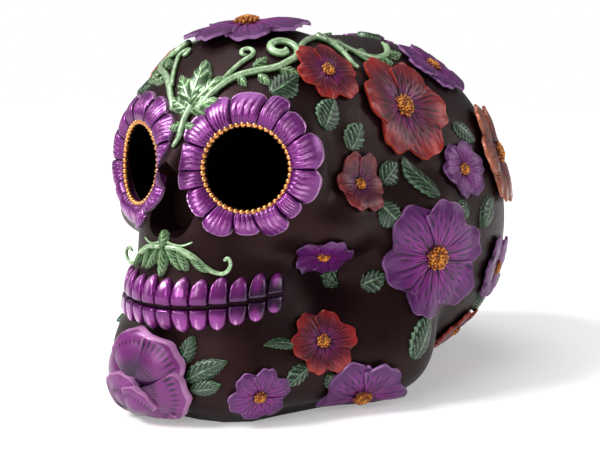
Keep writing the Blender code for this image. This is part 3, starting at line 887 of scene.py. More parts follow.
def add_grain(graph: Graph, shader: bpy.types.Node, groups: PaintGroups, scale: float,
              depth: float, roughness: float, spread: float = 0.25) -> None:
    """Feed a shader's normal and roughness from the shared grain.

    Args:
        graph: The material's graph.
        shader: Its Principled node.
        groups: The shared paint effects.
        scale: Fineness of the grain.
        depth: Strength of the bump.
        roughness: Mean roughness.
        spread: How much the roughness varies.
    """
    grain = graph.shared(groups.grain, Scale=scale, Depth=depth, Roughness=roughness,
                         Spread=spread)
    graph.tree.links.new(grain.outputs["Normal"], shader.inputs["Normal"])
    graph.tree.links.new(grain.outputs["Roughness"], shader.inputs["Roughness"])


@dataclass(frozen=True)
class PlainFinish:
    """A finish with no painted guides, such as the casting, its sockets or the board."""

    name: str
    base: Colour
    second: Colour
    roughness: float
    metallic: float = 0.0
    wash_scale: float = 60.0
    wash_amount: float = 0.6
    grain_scale: float = 500.0
    grain_depth: float = 0.15
    specular: float = 0.5
    sheen: Colour = (1.0, 1.0, 1.0)

    def build(self, groups: PaintGroups) -> bpy.types.Material:
        """Make the material from the shared paint effects.

        Args:
            groups: The shared paint effects.

        Returns:
            The material.
        """
        material = bpy.data.materials.new(self.name)
        material.use_nodes = True
        graph = Graph(material.node_tree)
        shader = material.node_tree.nodes["Principled BSDF"]
        washed = graph.shared(groups.wash, Base=rgba(self.base), Second=rgba(self.second),
                              Scale=self.wash_scale, Amount=self.wash_amount)
        graph.tree.links.new(washed.outputs["Color"], shader.inputs["Base Color"])
        add_grain(graph, shader, groups, self.grain_scale, self.grain_depth, self.roughness)
        shader.inputs["Metallic"].default_value = self.metallic
        shader.inputs["Specular IOR Level"].default_value = self.specular
        shader.inputs["Specular Tint"].default_value = rgba(self.sheen)
        return material


FINISHES: dict[str, Finish | PlainFinish] = {
    "dark_casting": PlainFinish("painted_casting", (0.0072, 0.0024, 0.0028),
                                (0.014, 0.0050, 0.0050), 0.46, wash_scale=45, grain_depth=0.2,
                                specular=0.26, sheen=(0.80, 0.46, 0.48)),
    # Near-black, without reflection: painted shade inside the eye holes, the chamber and the foot
    # hole.
    "socket": PlainFinish("socket_shade_black", (0.0012, 0.001, 0.001), (0.002, 0.0015, 0.0015), 0.9,
                          specular=0.0),
    "base_board": PlainFinish("base_board", (0.030, 0.026, 0.025), (0.05, 0.045, 0.04), 0.9,
                              wash_scale=220, grain_scale=1500, grain_depth=0.6),
    "bloom_purple": Finish(
        "petal_purple", (0.34, 0.010, 0.27), (0.155, 0.009, 0.165), (0.085, 0.009, 0.105),
        crease=(0.014, 0.001, 0.024), glint=(0.52, 0.13, 0.50), rim=(0.38, 0.16, 0.40),
        glint_start=0.5, glint_amount=0.5, rim_amount=0.6, roughness=0.4, coat=0.08),
    "bloom_red": Finish(
        "petal_red", (0.32, 0.008, 0.24), (0.115, 0.004, 0.024), (0.33, 0.012, 0.010),
        crease=(0.018, 0.001, 0.004), glint=(0.70, 0.10, 0.12), rim=(0.56, 0.06, 0.03),
        glint_start=0.5, middle_at=0.5, glint_amount=0.45, rim_amount=0.6, roughness=0.4,
        coat=0.08),
    "bloom_rose": Finish(
        "petal_rose", (0.20, 0.007, 0.14), (0.10, 0.006, 0.026), (0.19, 0.016, 0.014),
        crease=(0.018, 0.001, 0.005), glint=(0.48, 0.12, 0.20), rim=(0.40, 0.08, 0.09),
        glint_start=0.5, glint_amount=0.5, roughness=0.4, coat=0.08),
    "bloom_rust": Finish(
        "petal_rust", (0.24, 0.010, 0.12), (0.22, 0.030, 0.020), (0.36, 0.075, 0.030),
        crease=(0.030, 0.004, 0.004), glint=(0.62, 0.22, 0.12), rim=(0.48, 0.14, 0.06),
        glint_amount=0.5, rim_amount=0.5),
    "chin_mauve": Finish(
        "petal_mauve", (0.08, 0.006, 0.08), (0.15, 0.014, 0.14), (0.20, 0.022, 0.185),
        crease=(0.024, 0.002, 0.030), glint=(0.66, 0.22, 0.58), rim=(0.70, 0.34, 0.62),
        glint_start=0.42, rim_amount=0.5, glint_amount=0.55, strokes=5.0),
    "ring_purple": Finish(
        "petal_ring", (0.13, 0.006, 0.13), (0.25, 0.025, 0.25), (0.20, 0.026, 0.22),
        crease=(0.020, 0.001, 0.032), glint=(0.90, 0.46, 0.84), rim=(0.60, 0.30, 0.58),
        glint_start=0.32, glint_amount=0.9, roughness=0.28, metallic=0.45, strokes=6.0),
    "tooth_purple": Finish(
        "tooth_purple", (0.34, 0.045, 0.32), (0.26, 0.020, 0.25), (0.13, 0.005, 0.13),
        crease=(0.030, 0.002, 0.035), glint=(0.92, 0.50, 0.84), rim=(0.035, 0.003, 0.045),
        rim_amount=0.8, roughness=0.2, metallic=0.5, coat=0.5, grain_depth=0.05, strokes=3.0),
    "leaf_green": Finish(
        "leaf_deep", (0.012, 0.040, 0.016), (0.016, 0.050, 0.021), (0.024, 0.070, 0.026),
        crease=(0.003, 0.010, 0.005), glint=(0.34, 0.56, 0.32), rim=(0.17, 0.30, 0.17),
        glint_start=0.12, glint_amount=0.95, rim_amount=0.6, metallic=0.1, roughness=0.38),
    "vine_mint": Finish(
        "vine_mint", (0.08, 0.18, 0.055), (0.15, 0.30, 0.11), (0.24, 0.42, 0.19),
        crease=(0.012, 0.034, 0.012), glint=(0.62, 0.80, 0.54), rim=(0.36, 0.54, 0.32),
        glint_start=0.15, glint_amount=0.8, metallic=0.25, roughness=0.3),
    "bead_gold": Finish(
        "bead_gold", (0.60, 0.22, 0.06), (0.74, 0.32, 0.09), (0.80, 0.42, 0.18),
        crease=(0.25, 0.08, 0.02), glint=(0.95, 0.60, 0.30), rim=(0.7, 0.35, 0.15),
        roughness=0.24, metallic=0.85, grain_depth=0.05),
    "stamen": Finish(
        "stamen_orange", (0.30, 0.07, 0.006), (0.66, 0.20, 0.015), (0.84, 0.34, 0.03),
        crease=(0.16, 0.03, 0.004), glint=(1.0, 0.60, 0.12), rim=(0.7, 0.3, 0.04),
        roughness=0.42, metallic=0.1, coat=0.0),
}


# ------------------------------------------------------------------ the casting
@dataclass
class Casting:
    """The skull itself, with eye sockets, nose recess and a flat foot."""

    form: SkullForm
    grid: int = 130
    eye_radius: float = 10.6 * MM
    eye_depth: float = 64 * MM
    wall: float = 6 * MM
    nose_top: float = 67 * MM
    nose_bottom: float = 45 * MM
    nose_width: float = 20 * MM
    nose_floor: float = -56 * MM
    node: str = "skull_shell"

    def build(self, skin: bpy.types.Material, socket: bpy.types.Material) -> bpy.types.Object:
        """Model the casting.

        Args:
            skin: Paint of the outside.
            socket: Near-black paint without reflection inside the eye holes and the chamber: painted
                shade that makes the holes look deep.

        Returns:
            The casting.
        """
        directions, faces = cage_directions(self.grid)
        mesh = bpy.data.meshes.new("skull_casting")
        mesh.from_pydata(self.form.skin(directions).tolist(), [], faces)
        cut_below(mesh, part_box(self.node)[0].z, recalculate=True)
        mesh.materials.append(skin)
        mesh.materials.append(socket)
        casting = linked("skull_casting", mesh)
        cutters = [self._chamber(), self._foot_hole(), self._nose()]
        cutters += [self._eye_drum(side) for side in (1, -1)]
        for index, cutter in enumerate(cutters):
            cutter.data.materials.append(skin)
            cutter.data.materials.append(socket)
            inside = 0 if cutter.name == "nose_cutter" else 1
            cutter.data.polygons.foreach_set("material_index", [inside] * len(cutter.data.polygons))
            change = casting.modifiers.new(f"cut_{index}", "BOOLEAN")
            change.operation = "DIFFERENCE"
            change.solver = "MANIFOLD"
            change.object = cutter
        settle_modifiers(casting)
        for cutter in cutters:
            bpy.data.objects.remove(cutter, do_unlink=True)
        casting.data.shade_smooth()
        casting.data.set_sharp_from_angle(angle=math.radians(40))
        return casting

    def _cutter(self, name: str, bm: bmesh.types.BMesh) -> bpy.types.Object:
        """Make a bmesh a cutter object, its faces pointing out."""
        bmesh.ops.recalc_face_normals(bm, faces=bm.faces)
        return linked(name, mesh_from(name, bm))

    def _chamber(self) -> bpy.types.Object:
        """The hollow, which is the cranium less the wall.

        Returns:
            The cutter.
        """
        bm = bmesh.new()
        bmesh.ops.create_uvsphere(bm, u_segments=64, v_segments=40, radius=1)
        radii = np.array(CRANIUM.span) * MM * self.form.stretch - self.wall
        middle = np.array(CRANIUM.place) * MM * self.form.stretch
        for vertex in bm.verts:
            vertex.co = Vector(np.array(vertex.co) * radii + middle)
        return self._cutter("chamber_cutter", bm)

    def _foot_hole(self) -> bpy.types.Object:
        """The round hole under the chamber.

        Returns:
            The cutter.
        """
        bm = bmesh.new()
        height = CRANIUM.place[2] * MM * self.form.stretch[2]
        middle = (0, CRANIUM.place[1] * MM * self.form.stretch[1], height / 2 - 1 * MM)
        bmesh.ops.create_cone(bm, cap_ends=True, segments=64, radius1=26 * MM, radius2=26 * MM,
                              depth=height + 2 * MM, matrix=Matrix.Translation(middle))
        return self._cutter("foot_hole_cutter", bm)

    def _eye_drum(self, side: int) -> bpy.types.Object:
        """The round hole of one eye, through to the chamber.

        Args:
            side: 1 for the left, -1 for the right.

        Returns:
            The cutter.
        """
        seat = eye_seat(self.form, side)
        bm = bmesh.new()
        turn = Vector((0, 0, 1)).rotation_difference(Vector(seat.out)).to_matrix().to_4x4()
        middle = Vector(seat.point + seat.out * (30 * MM - self.eye_depth / 2))
        bmesh.ops.create_cone(bm, cap_ends=True, segments=96, radius1=self.eye_radius,
                              radius2=self.eye_radius, depth=self.eye_depth,
                              matrix=Matrix.Translation(middle) @ turn)
        return self._cutter(f"eye_cutter_{side}", bm)

    def _nose(self, steps: int = 72) -> bpy.types.Object:
        """The nose recess: a heart upside down, narrowing a little as it goes in.

        Args:
            steps: Corners round the recess.

        Returns:
            The cutter.
        """
        rise = self.form.stretch[2]
        height = (self.nose_top - self.nose_bottom) * rise
        rim = []
        for step in range(steps):
            angle = 2 * math.pi * step / steps
            level = 0.5 + 0.5 * math.cos(angle)
            x = math.sin(angle) * (1 - level) ** 0.35 * self.nose_width / 2
            dip = 0.09 * math.exp(-((x / (self.nose_width * 0.14)) ** 2)) * (1 - level)
            rim.append((x, self.nose_bottom * rise + height * (level + dip)))
        front, back = -RAY_REACH / 2, self.nose_floor * self.form.stretch[1]
        bm = bmesh.new()
        middle = (self.nose_bottom + self.nose_top) / 2 * rise
        mouth = [bm.verts.new((x, front, z)) for x, z in rim]
        deep = [bm.verts.new((x * 0.8, back, middle + (z - middle) * 0.85)) for x, z in rim]
        bm.faces.new(mouth)
        bm.faces.new(deep[::-1])
        for here in range(steps):
            there = (here + 1) % steps
            bm.faces.new((mouth[here], deep[here], deep[there], mouth[there]))
        return self._cutter("nose_cutter", bm)


def settle_modifiers(piece: bpy.types.Object) -> None:
    """Replace a piece's mesh by what its modifiers make of it.

    Args:
        piece: The piece, which is changed.
    """
    graph = bpy.context.evaluated_depsgraph_get()
    mesh = bpy.data.meshes.new_from_object(piece.evaluated_get(graph))
    piece.modifiers.clear()
    piece.data = mesh


def eye_seat(form: SkullForm, side: int) -> Seat:
    """The seat of an eye: the middle of its rim, looking along its axis.

    Args:
        form: The skull.
        side: 1 for the left, -1 for the right.

    Returns:
        The seat.
    """
    mirror = np.array([side, 1, 1])
    out = unit(np.array(EYE_AXIS) * mirror)
    across = unit(np.cross([0, 0, 1.0], out)) * side
    point = np.array(EYE_PLACE) * MM * form.stretch * mirror
    return Seat(form, point, across, np.cross(out, across) * side, out)


def side_word(side: int) -> str:
    """Name of a side of the skull."""
    return "left" if side > 0 else "right"


# ------------------------------------------------------------------ the eyes
@dataclass
class EyeRing:
    """The ruffled, pleated petals round one eye and the beads along its hole."""

    form: SkullForm
    side: int
    hole: float = 10.6 * MM
    bead_radius: float = 0.84 * MM
    beads: int = 46
    lobes: int = 14
    outer: float = 19.3 * MM
    temple_outer: float = 17.7 * MM
    nose_outer: float = 16.8 * MM
    midline: float = 0.35 * MM
    bulge: float = 1.6 * MM
    pleat: float = 0.2 * MM
    columns: int = 32
    rows: int = 20

    def petals(self, material: bpy.types.Material) -> bpy.types.Object:
        """Model the ring of petals and return it.

        Args:
            material: Its paint.

        Returns:
            The piece.
        """
        seat = eye_seat(self.form, self.side)
        widths = np.array([1 + 0.22 * math.sin(2.4 * lobe + 0.6) for lobe in range(self.lobes)])
        edges = np.concatenate([[0], np.cumsum(widths)]) / widths.sum() * 2 * math.pi
        angles, across, which = [], [], []
        for lobe in range(self.lobes):
            share = np.linspace(-1, 1, self.columns, endpoint=False)
            angles.append(edges[lobe] + (share + 1) / 2 * (edges[lobe + 1] - edges[lobe]))
            across.append(share)
            which.append(np.full(self.columns, lobe))
        angle, t, lobe = (np.concatenate(part) for part in (angles, across, which))
        s = np.linspace(0, 1, self.rows)[:, None]
        inner = self.hole + 0.55 * self.bead_radius
        temple = 0.5 + 0.5 * np.cos(angle)
        upper = 0.5 + 0.5 * np.sin(angle)
        reach = self.nose_outer + (self.temple_outer - self.nose_outer) * temple
        reach = reach + (self.outer - reach) * upper**2
        reach = reach * (1 + 0.035 * np.sin(2.9 * lobe + 1.1))
        reach = reach * (1 - 0.085 * np.abs(t) ** 3.5)
        room = (abs(seat.point[0]) - self.midline) / abs(seat.across[0])
        toward_nose = np.maximum(-np.cos(angle), 1e-6)
        reach = np.where(np.cos(angle) < 0, np.minimum(reach, room / toward_nose), reach)
        radius = inner + (reach - inner) * s
        swirl = 0.05 * np.sin(3 * angle) * s
        flat = np.stack([radius * np.cos(angle + swirl), radius * np.sin(angle + swirl)], -1)
        count = 5.5 + 1.2 * np.sin(1.7 * lobe)
        bend = 0.04 * np.sin(5 * s + lobe)
        lines = np.sin(math.pi * count * (t / 2 + bend) + lobe * 2.1)
        wave = 0.5 - 1.5 * np.exp(-((lines / 0.32) ** 2)) * (0.35 + 0.65 * np.sin(3.1 * s + lobe) ** 2)
        full = (1 - np.abs(t) ** 6) ** 0.6
        arch = np.sin(math.pi * np.clip(0.12 + 0.83 * s, 0, 1)) ** 0.75
        lap = 0.35 * MM * t * s
        lift = 0.15 * MM + self.bulge * arch * (0.55 + 0.45 * full) + lap
        lift = lift + self.pleat * wave * (0.3 + 0.7 * arch) * full
        lip = np.clip((s - 0.93) / 0.07, 0, 1) * full
        lift = lift + 0.28 * MM * lip
        bottom = seat.lay(flat, -EXTRA_GRIP)
        level = self._rim_level(seat, angle) - (seat.lay(flat[0], 0.0) - seat.point) @ seat.out
        raised = level[None] * np.clip(1.15 - s, 0, 1) ** 1.5
        top = seat.lay(flat, lift, 0.15) + raised[..., None] * seat.out
        seam = np.clip((np.abs(t) - 0.9) / 0.1, 0, 1) * np.ones_like(s)
        # ridge: painted highlight on each lobe's crest, painted shade in the seams between lobes.
        ridge = 0.62 * wave + 0.50 * full * arch**2 * np.clip(1.5 * s, 0, 1) - 1.2 * seam - 0.2
        rim = np.clip((s - 0.92) / 0.08, 0, 1) * np.ones_like(t)
        relief = Relief()
        relief.sheet(top, bottom, s + 0 * t, ridge, rim, t + 2.7 * lobe + 0 * s, closed=True)
        name = f"{side_word(self.side)}_eye_petals"
        return place(relief.build(name, material), "ring_purple",
                     f"{side_word(self.side)}_eye_petal_ring")

    def beading(self, material: bpy.types.Material) -> bpy.types.Object:
        """Model the string of beads and return it.

        Args:
            material: Its paint.

        Returns:
            The piece.
        """
        seat = eye_seat(self.form, self.side)
        relief = Relief()
        angles = 2 * math.pi * np.arange(self.beads) / self.beads
        circle = self.hole + 0.45 * self.bead_radius
        flat = np.stack([np.cos(angles), np.sin(angles)], -1) * circle
        rim = self._rim_level(seat, angles) + 0.45 * MM
        for index, (spot, height) in enumerate(zip(flat, rim)):
            middle = seat.point + spot[0] * seat.across + spot[1] * seat.up + seat.out * height
            size = self.bead_radius * (1 + 0.05 * math.sin(5.3 * index))
            relief.ball(middle, np.eye(3) * size, 0.6, 0.4, 0.0, float(index))
        name = f"{side_word(self.side)}_eye_beads"
        return place(relief.build(name, material), "bead_gold",
                     f"{side_word(self.side)}_bead_ring")

    def _rim_level(self, seat: Seat, angles: np.ndarray) -> np.ndarray:
        """Height over the seat of a level rim that rests on the highest places round the hole.

        Args:
            seat: The eye's seat.
            angles: Angles round the hole.

        Returns:
            The height at each angle.
        """
        around = 2 * math.pi * np.arange(72) / 72
        flat = np.stack([np.cos(around), np.sin(around)], -1) * (self.hole + self.bead_radius)
        heights = (seat.lay(flat, 0.0) - seat.point) @ seat.out
        waves = np.stack([np.ones(72), np.cos(around), np.sin(around), np.cos(2 * around)], -1)
        fit = np.linalg.lstsq(waves, heights, rcond=None)[0]
        rest = 0.6 * float((heights - waves @ fit).max())
        wanted = np.stack([np.ones_like(angles), np.cos(angles), np.sin(angles),
                           np.cos(2 * angles)], -1)
        return wanted @ fit + rest


# ------------------------------------------------------------------ the teeth
@dataclass
class TeethRow:
    """One row of teeth set round the dental arch."""

    form: SkullForm
    node: str
    upper: bool
    count: int = 14
    thick: float = 2.1 * MM
    upturn: float = 2.6 * MM
    columns: int = 17
    rows: int = 19

    def build(self, material: bpy.types.Material) -> bpy.types.Object:
        """Model the row and return it.

        Args:
            material: Its paint.

        Returns:
            The piece.
        """
        points = node_points(self.node)
        low, high = points[:, 2].min(), points[:, 2].max()
        sweep = np.abs(np.arctan2(points[:, 0], -(points[:, 1] - self.form.heart[1]))).max()
        gum, bite = (high, low) if self.upper else (low, high)
        edges = np.linspace(-1, 1, self.count + 1)
        relief = Relief()
        v, u = blade_grid(self.rows, self.columns)
        for index in range(self.count):
            middle = (edges[index] + edges[index + 1]) / 2 * sweep
            half = (edges[1] - edges[0]) / 2 * sweep * 0.985
            back = abs(middle) / sweep
            narrow = 0.78 + 0.22 * np.clip(v / 0.6, 0, 1)
            turn = middle + u * half * narrow
            crown = 1 - 0.25 * (1 - v) ** 2 * np.abs(u) ** 2.2
            size = 1 - 0.30 * back**2 - 0.06 * (index % 2)
            share = (1 - (1 - v * crown - (1 - crown)) * size)
            level = gum + (bite - gum) * share + self.upturn * back**2
            ends = np.where(v > 0.5, np.abs(2 * v - 1) ** 12, np.abs(2 * v - 1) ** 7)
            body = (1 - np.abs(u) ** 8) ** 0.5 * (1 - ends) ** 0.5
            lift = self.thick * (1 - 0.45 * back**3) * body * (0.8 + 0.2 * np.sin(math.pi * v))
            top = self._on_arch(turn, level, lift)
            bottom = self._on_arch(turn, level, np.full_like(lift, -EXTRA_GRIP))
            edge = 1 - np.clip(body * 1.45, 0, 1)
            # ridge: painted highlight on the gum half of each tooth, a little off its middle, darker
            # towards its edges; the next line adds painted shade on the teeth towards the back of the
            # row.
            ridge = 1.0 * np.exp(-(((u + 0.1) / 0.5) ** 2)) * np.clip(1.1 - v, 0, 1) - 0.6 * edge
            ridge = ridge - 1.1 * back**2 * (0.5 + 0.5 * v)
            relief.sheet(top, bottom, v + 0 * u, ridge, edge, u + index + 0 * v)
        return place(relief.build(f"{self.node}_row", material, 70), "tooth_purple", self.node)

    def _on_arch(self, turn: np.ndarray, level: np.ndarray, lift: np.ndarray) -> np.ndarray:
        """Points at an angle about the heart and a height, lifted off the skull.

        Args:
            turn: Angles about the upright axis.
            level: Heights over the floor.
            lift: Distances off the skull.

        Returns:
            (rows, columns, 3) points.
        """
        turn, level = np.broadcast_arrays(turn, level)
        rays = np.stack([np.sin(turn), -np.cos(turn), 0 * turn], -1).reshape(-1, 3)
        axis = np.zeros_like(rays)
        axis[:, 1] = self.form.heart[1]
        axis[:, 2] = level.reshape(-1)
        skin = self.form.fall(axis + rays * RAY_REACH, -rays)
        return (skin + rays * lift.reshape(-1, 1)).reshape(*turn.shape, 3)


# ------------------------------------------------------------------ blooms
@dataclass
class Bloom:
    """An open flower: broad veined petals round a head of stamens."""

    form: SkullForm
    node: str
    lean: float = 0.0
    level: float = 0.0
    columns: int = 25
    rows: int = 20
    heart_share: float = 0.2
    seat: Seat = field(init=False)
    radius: float = field(init=False)
    count: int = field(init=False)

    def __post_init__(self) -> None:
        """Read the flower's place, size, petals and turn from its frame node."""
        points = node_points(self.node)
        middle, _, out = main_axes(self.node, self.form.heart)
        rise = (points - middle) @ out
        apart = np.linalg.norm(points - middle - rise[:, None] * out, axis=1)
        crest = points[np.argmax(np.where(apart < 0.4 * apart.max(), rise, -1.0))]
        out = unit(out * np.array([1, 1, 1 - self.level]) - np.array([0, self.lean, 0]))
        point = self.form.fall((crest + out * 10 * MM)[None], -out[None])[0]
        seat = seat_toward(self.form, point, out)
        offset = points - point
        flat = np.stack([offset @ seat.across, offset @ seat.up], -1)
        reach = np.hypot(flat[:, 0], flat[:, 1])
        angle = np.arctan2(flat[:, 1], flat[:, 0])
        outer = reach > 0.6 * reach.max()
        beats = {count: np.sum((reach * np.exp(1j * count * angle))[outer]) for count in (5, 6, 7)}
        self.count = max(beats, key=lambda count: abs(beats[count]))
        self.radius = float(np.percentile(reach, 99)) * 1.07
        self.seat = seat.turned(float(np.angle(beats[self.count])) / self.count)

    def build(self, petal: bpy.types.Material, stamen: bpy.types.Material, slot: str) -> None:
        """Model the petals and stamens.

        Args:
            petal: Paint of the petals.
            stamen: Paint of the stamens.
            slot: The record's slot for the petals.
        """
        relief = Relief()
        for index in range(self.count):
            self._petal(relief, index)
        petals = place(relief.build(f"{self.node}_petals", petal), slot, self.node)
        trim_foot(petals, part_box("skull_shell")[0].z)
        place(self._stamens(stamen), slot)

    def _petal(self, relief: Relief, index: int) -> None:
        """Add one petal to the relief.

        Args:
            relief: Where it goes.
            index: The petal's number.
        """
        size = self.radius * (1 + 0.04 * math.sin(2.3 * index + len(self.node)))
        s, t = blade_grid(self.rows, self.columns)
        pitch = math.pi / self.count
        swell = np.clip(s / 0.72, 0, 1)
        swell = swell * swell * (3 - 2 * swell)
        half = size * (0.07 + (0.92 * math.sin(pitch) - 0.07) * swell)
        wedge = size * (0.1 + 0.9 * s) * math.tan(pitch) * 1.15
        half = np.where(s < 0.5, np.maximum(half, wedge), half)
        notch = 0.035 * np.exp(-(((t - 0.15 * math.sin(index)) / 0.25) ** 2))
        along = size * (0.1 + 0.9 * s - s**3 * (0.36 * np.abs(t) ** 3.8 + notch))
        side = half * t * (1 - 0.16 * np.clip((s - 0.6) / 0.4, 0, 1) ** 2)
        turn = 2 * math.pi * index / self.count
        flat = np.stack([along * math.cos(turn) - side * math.sin(turn),
                         along * math.sin(turn) + side * math.cos(turn)], -1)
        unit_lift = min(1.0, self.radius / (15 * MM)) ** 0.7 * MM
        fade = np.clip((1.0 - s) / 0.45, 0, 1) ** 0.6
        lines = np.sin(math.pi * 4.5 * (t + 0.1 * np.sin(3 * s + index)))
        veins = (0.55 - 1.7 * np.exp(-((lines / 0.4) ** 2))) * (0.10 + 0.90 * fade)
        fold = np.exp(-((t / 0.08) ** 2)) * np.clip(1.0 - s, 0, 1)
        edge = np.maximum(np.clip((np.abs(t) - 0.88) / 0.12, 0, 1) * np.clip(s / 0.35, 0, 1),
                          np.clip((s - 0.94) / 0.06, 0, 1))
        cup = 1.0 + 1.1 * s**1.3 - 0.7 * s**6
        dome = 0.42 * (1 - t**2) * np.sin(math.pi * s)
        layer = 0.42 * (index % 2) + (0.3 if self.count % 2 and index == 0 else 0)
        lift = cup + dome + layer + 0.35 * t * s + 0.11 * veins - 0.16 * fold + 0.14 * edge
        lift = lift + 0.2 * np.sin(2.5 * math.pi * t + 1.7 * index) * s**4
        top = self.seat.lay(flat, lift * unit_lift, 0.45)
        bottom = top - self.seat.out * (unit_lift * (1.7 - 0.9 * s**2))[..., None]
        # ridge: painted highlight across the middle of each petal's outer half, painted shade in its
        # centre fold and vein grooves; darker near the stamens and at its sides.
        ridge = 0.95 * veins - 1.1 * fold + 0.35 * (1 - t**2) * np.clip((s - 0.35) / 0.4, 0, 1)
        ridge = ridge - 0.9 * np.clip(0.3 - s, 0, 1) / 0.3 - 0.5 * np.abs(t) ** 4
        relief.sheet(top, bottom, s + 0 * t, ridge, edge + 0 * s * t, t + 2.7 * index + 0 * s)

    def _stamens(self, material: bpy.types.Material) -> bpy.types.Object:
        """Model the head of stamens and return it.

        Args:
            material: Its paint.

        Returns:
            The piece.
        """
        relief = Relief()
        reach = self.heart_share * self.radius
        count = 26 if self.radius < 10 * MM else 48
        grain = reach / math.sqrt(count) * 1.05
        unit_lift = min(1.0, self.radius / (15 * MM)) ** 0.7 * MM
        base = self.seat.lay(np.zeros((1, 2)), 1.0 * unit_lift)[0]
        axes = np.stack([self.seat.across, self.seat.up, self.seat.out])
        squash = np.array([reach, reach, reach * 0.55])[:, None]
        # The dome under the stamens takes painted shade (ridge -0.6).
        relief.ball(base, axes * squash, 0.1, -0.6, 0.0, 0.0)
        for index in range(count):
            share = math.sqrt((index + 0.5) / count)
            turn = index * GOLDEN_TURN
            spot = axes[0] * math.cos(turn) * share + axes[1] * math.sin(turn) * share
            rise = reach * (0.62 * math.sqrt(max(0.0, 1 - 0.85 * share**2)))
            middle = base + spot * reach + self.seat.out * rise
            size = grain * (0.75 + 0.3 * math.sin(7.1 * index) ** 2)
            relief.ball(middle, axes * size, 1 - 0.7 * share, 0.5 * math.cos(3.7 * index), 0.0,
                        float(index))
        return relief.build(f"{self.node}_stamens", material)


def trim_foot(piece: bpy.types.Object, level: float) -> None:
    """Cut a piece off flat where it would reach below a level."""
    if min(vertex.co.z for vertex in piece.data.vertices) < level:
        cut_below(piece.data, level)


@dataclass(frozen=True)
class Fan:
    """Outline of a petal of the chin's bloom, in shares of the bloom's radius.

    foot is where it grows from, heading its direction, spread half of its angle, reach its
    near and far ends, and rise its extra height as a share of the bloom's height.
    """

    foot: tuple[float, float]
    heading: float
    spread: float
    reach: tuple[float, float]
    rise: float


@dataclass
class ChinBloom:
    """The full bloom on the chin: a whorl of pleated petals with a cup folded over it."""

    form: SkullForm
    node: str = "chin_bloom"
    columns: int = 21
    rows: int = 20

    def build(self, material: bpy.types.Material) -> None:
        """Model the bloom from the frame node's place and size.

        Args:
            material: Its paint.
        """
        points = node_points(self.node)
        middle, _, out = main_axes(self.node, self.form.heart)
        seat = seat_toward(self.form, self.form.settle(middle[None])[0], out)
        seat.deepest = 3 * MM
        offset = points - seat.point
        radius = float(np.percentile(np.hypot(offset @ seat.across, offset @ seat.up), 97))
        height = float((offset @ seat.out).max())
        relief = Relief()
        for index in range(6):
            fan = Fan((0.0, 0.0), 1.05 * index + 0.75, 0.66, (0.12, 1.02), 0.0)
            self._petal(relief, seat, fan, radius, height, index)
        for index, (heading, reach) in enumerate(((128, 1.06), (58, 1.0), (92, 1.12))):
            fan = Fan((-0.24, -0.84), math.radians(heading), 0.44, (0.05, reach), 0.14)
            self._petal(relief, seat, fan, radius, height, index)
        bloom = place(relief.build(f"{self.node}_petals", material), "chin_mauve", self.node)
        trim_foot(bloom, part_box("skull_shell")[0].z)

    def _petal(self, relief: Relief, seat: Seat, fan: Fan, radius: float, height: float,
               index: int) -> None:
        """Add one petal, which lies over the bloom's dome.

        Args:
            relief: Where it goes.
            seat: The bloom's seat.
            fan: The petal's outline.
            radius: The bloom's radius.
            height: The bloom's height over the skull.
            index: The petal's number, which varies its edge.
        """
        s, t = blade_grid(self.rows, self.columns)
        start, reach = fan.reach
        along = radius * (start + (reach - start) * s * (1 - 0.12 * np.abs(t) ** 2.5))
        along = along + radius * 0.012 * np.sin(9 * t + 4 * index) * s**3
        swing = fan.spread * t * (0.6 + 0.4 * s**0.5) + fan.heading
        flat = np.stack([fan.foot[0] * radius + along * np.cos(swing),
                         fan.foot[1] * radius + along * np.sin(swing)], -1)
        away = np.linalg.norm(flat, axis=-1) / radius
        dome = np.sqrt(np.clip(1 - away**2 * 0.92, 0.02, 1))
        lines = np.sin(math.pi * 5.0 * (t + 0.12 * np.sin(2.5 * s + index)) + 1.3 * index)
        pleats = 0.5 - 1.5 * np.exp(-((lines / 0.28) ** 2))
        curl = np.clip((s - 0.85) / 0.15, 0, 1)
        lift = height * (0.06 + 0.58 * dome + fan.rise * np.clip(2 * s, 0, 1))
        lift = lift + MM * (0.8 * (1 - t**2) * np.sin(math.pi * s) ** 0.7 + 0.2 * pleats * s)
        lift = lift + MM * (0.45 * t + 0.4 * (index % 2) + 0.35 * curl)
        top = seat.lay(flat, lift, 0.5)
        bottom = top - seat.out * np.minimum(lift, 1.6 * MM)[..., None]
        edge = np.maximum(np.clip((np.abs(t) - 0.92) / 0.08, 0, 1) * s,
                          np.clip((s - 0.94) / 0.06, 0, 1))
        # ridge: painted highlight on the pleat crests and the middle of each petal towards its tip,
        # painted shade in the pleat grooves; darker towards its foot.
        ridge = 0.8 * pleats * s + 0.4 * (1 - t**2) * s - 0.3 - 0.4 * (1 - s) ** 2
        relief.sheet(top, bottom, s + 0 * t, ridge, edge, t + 2.7 * index + 0 * s)


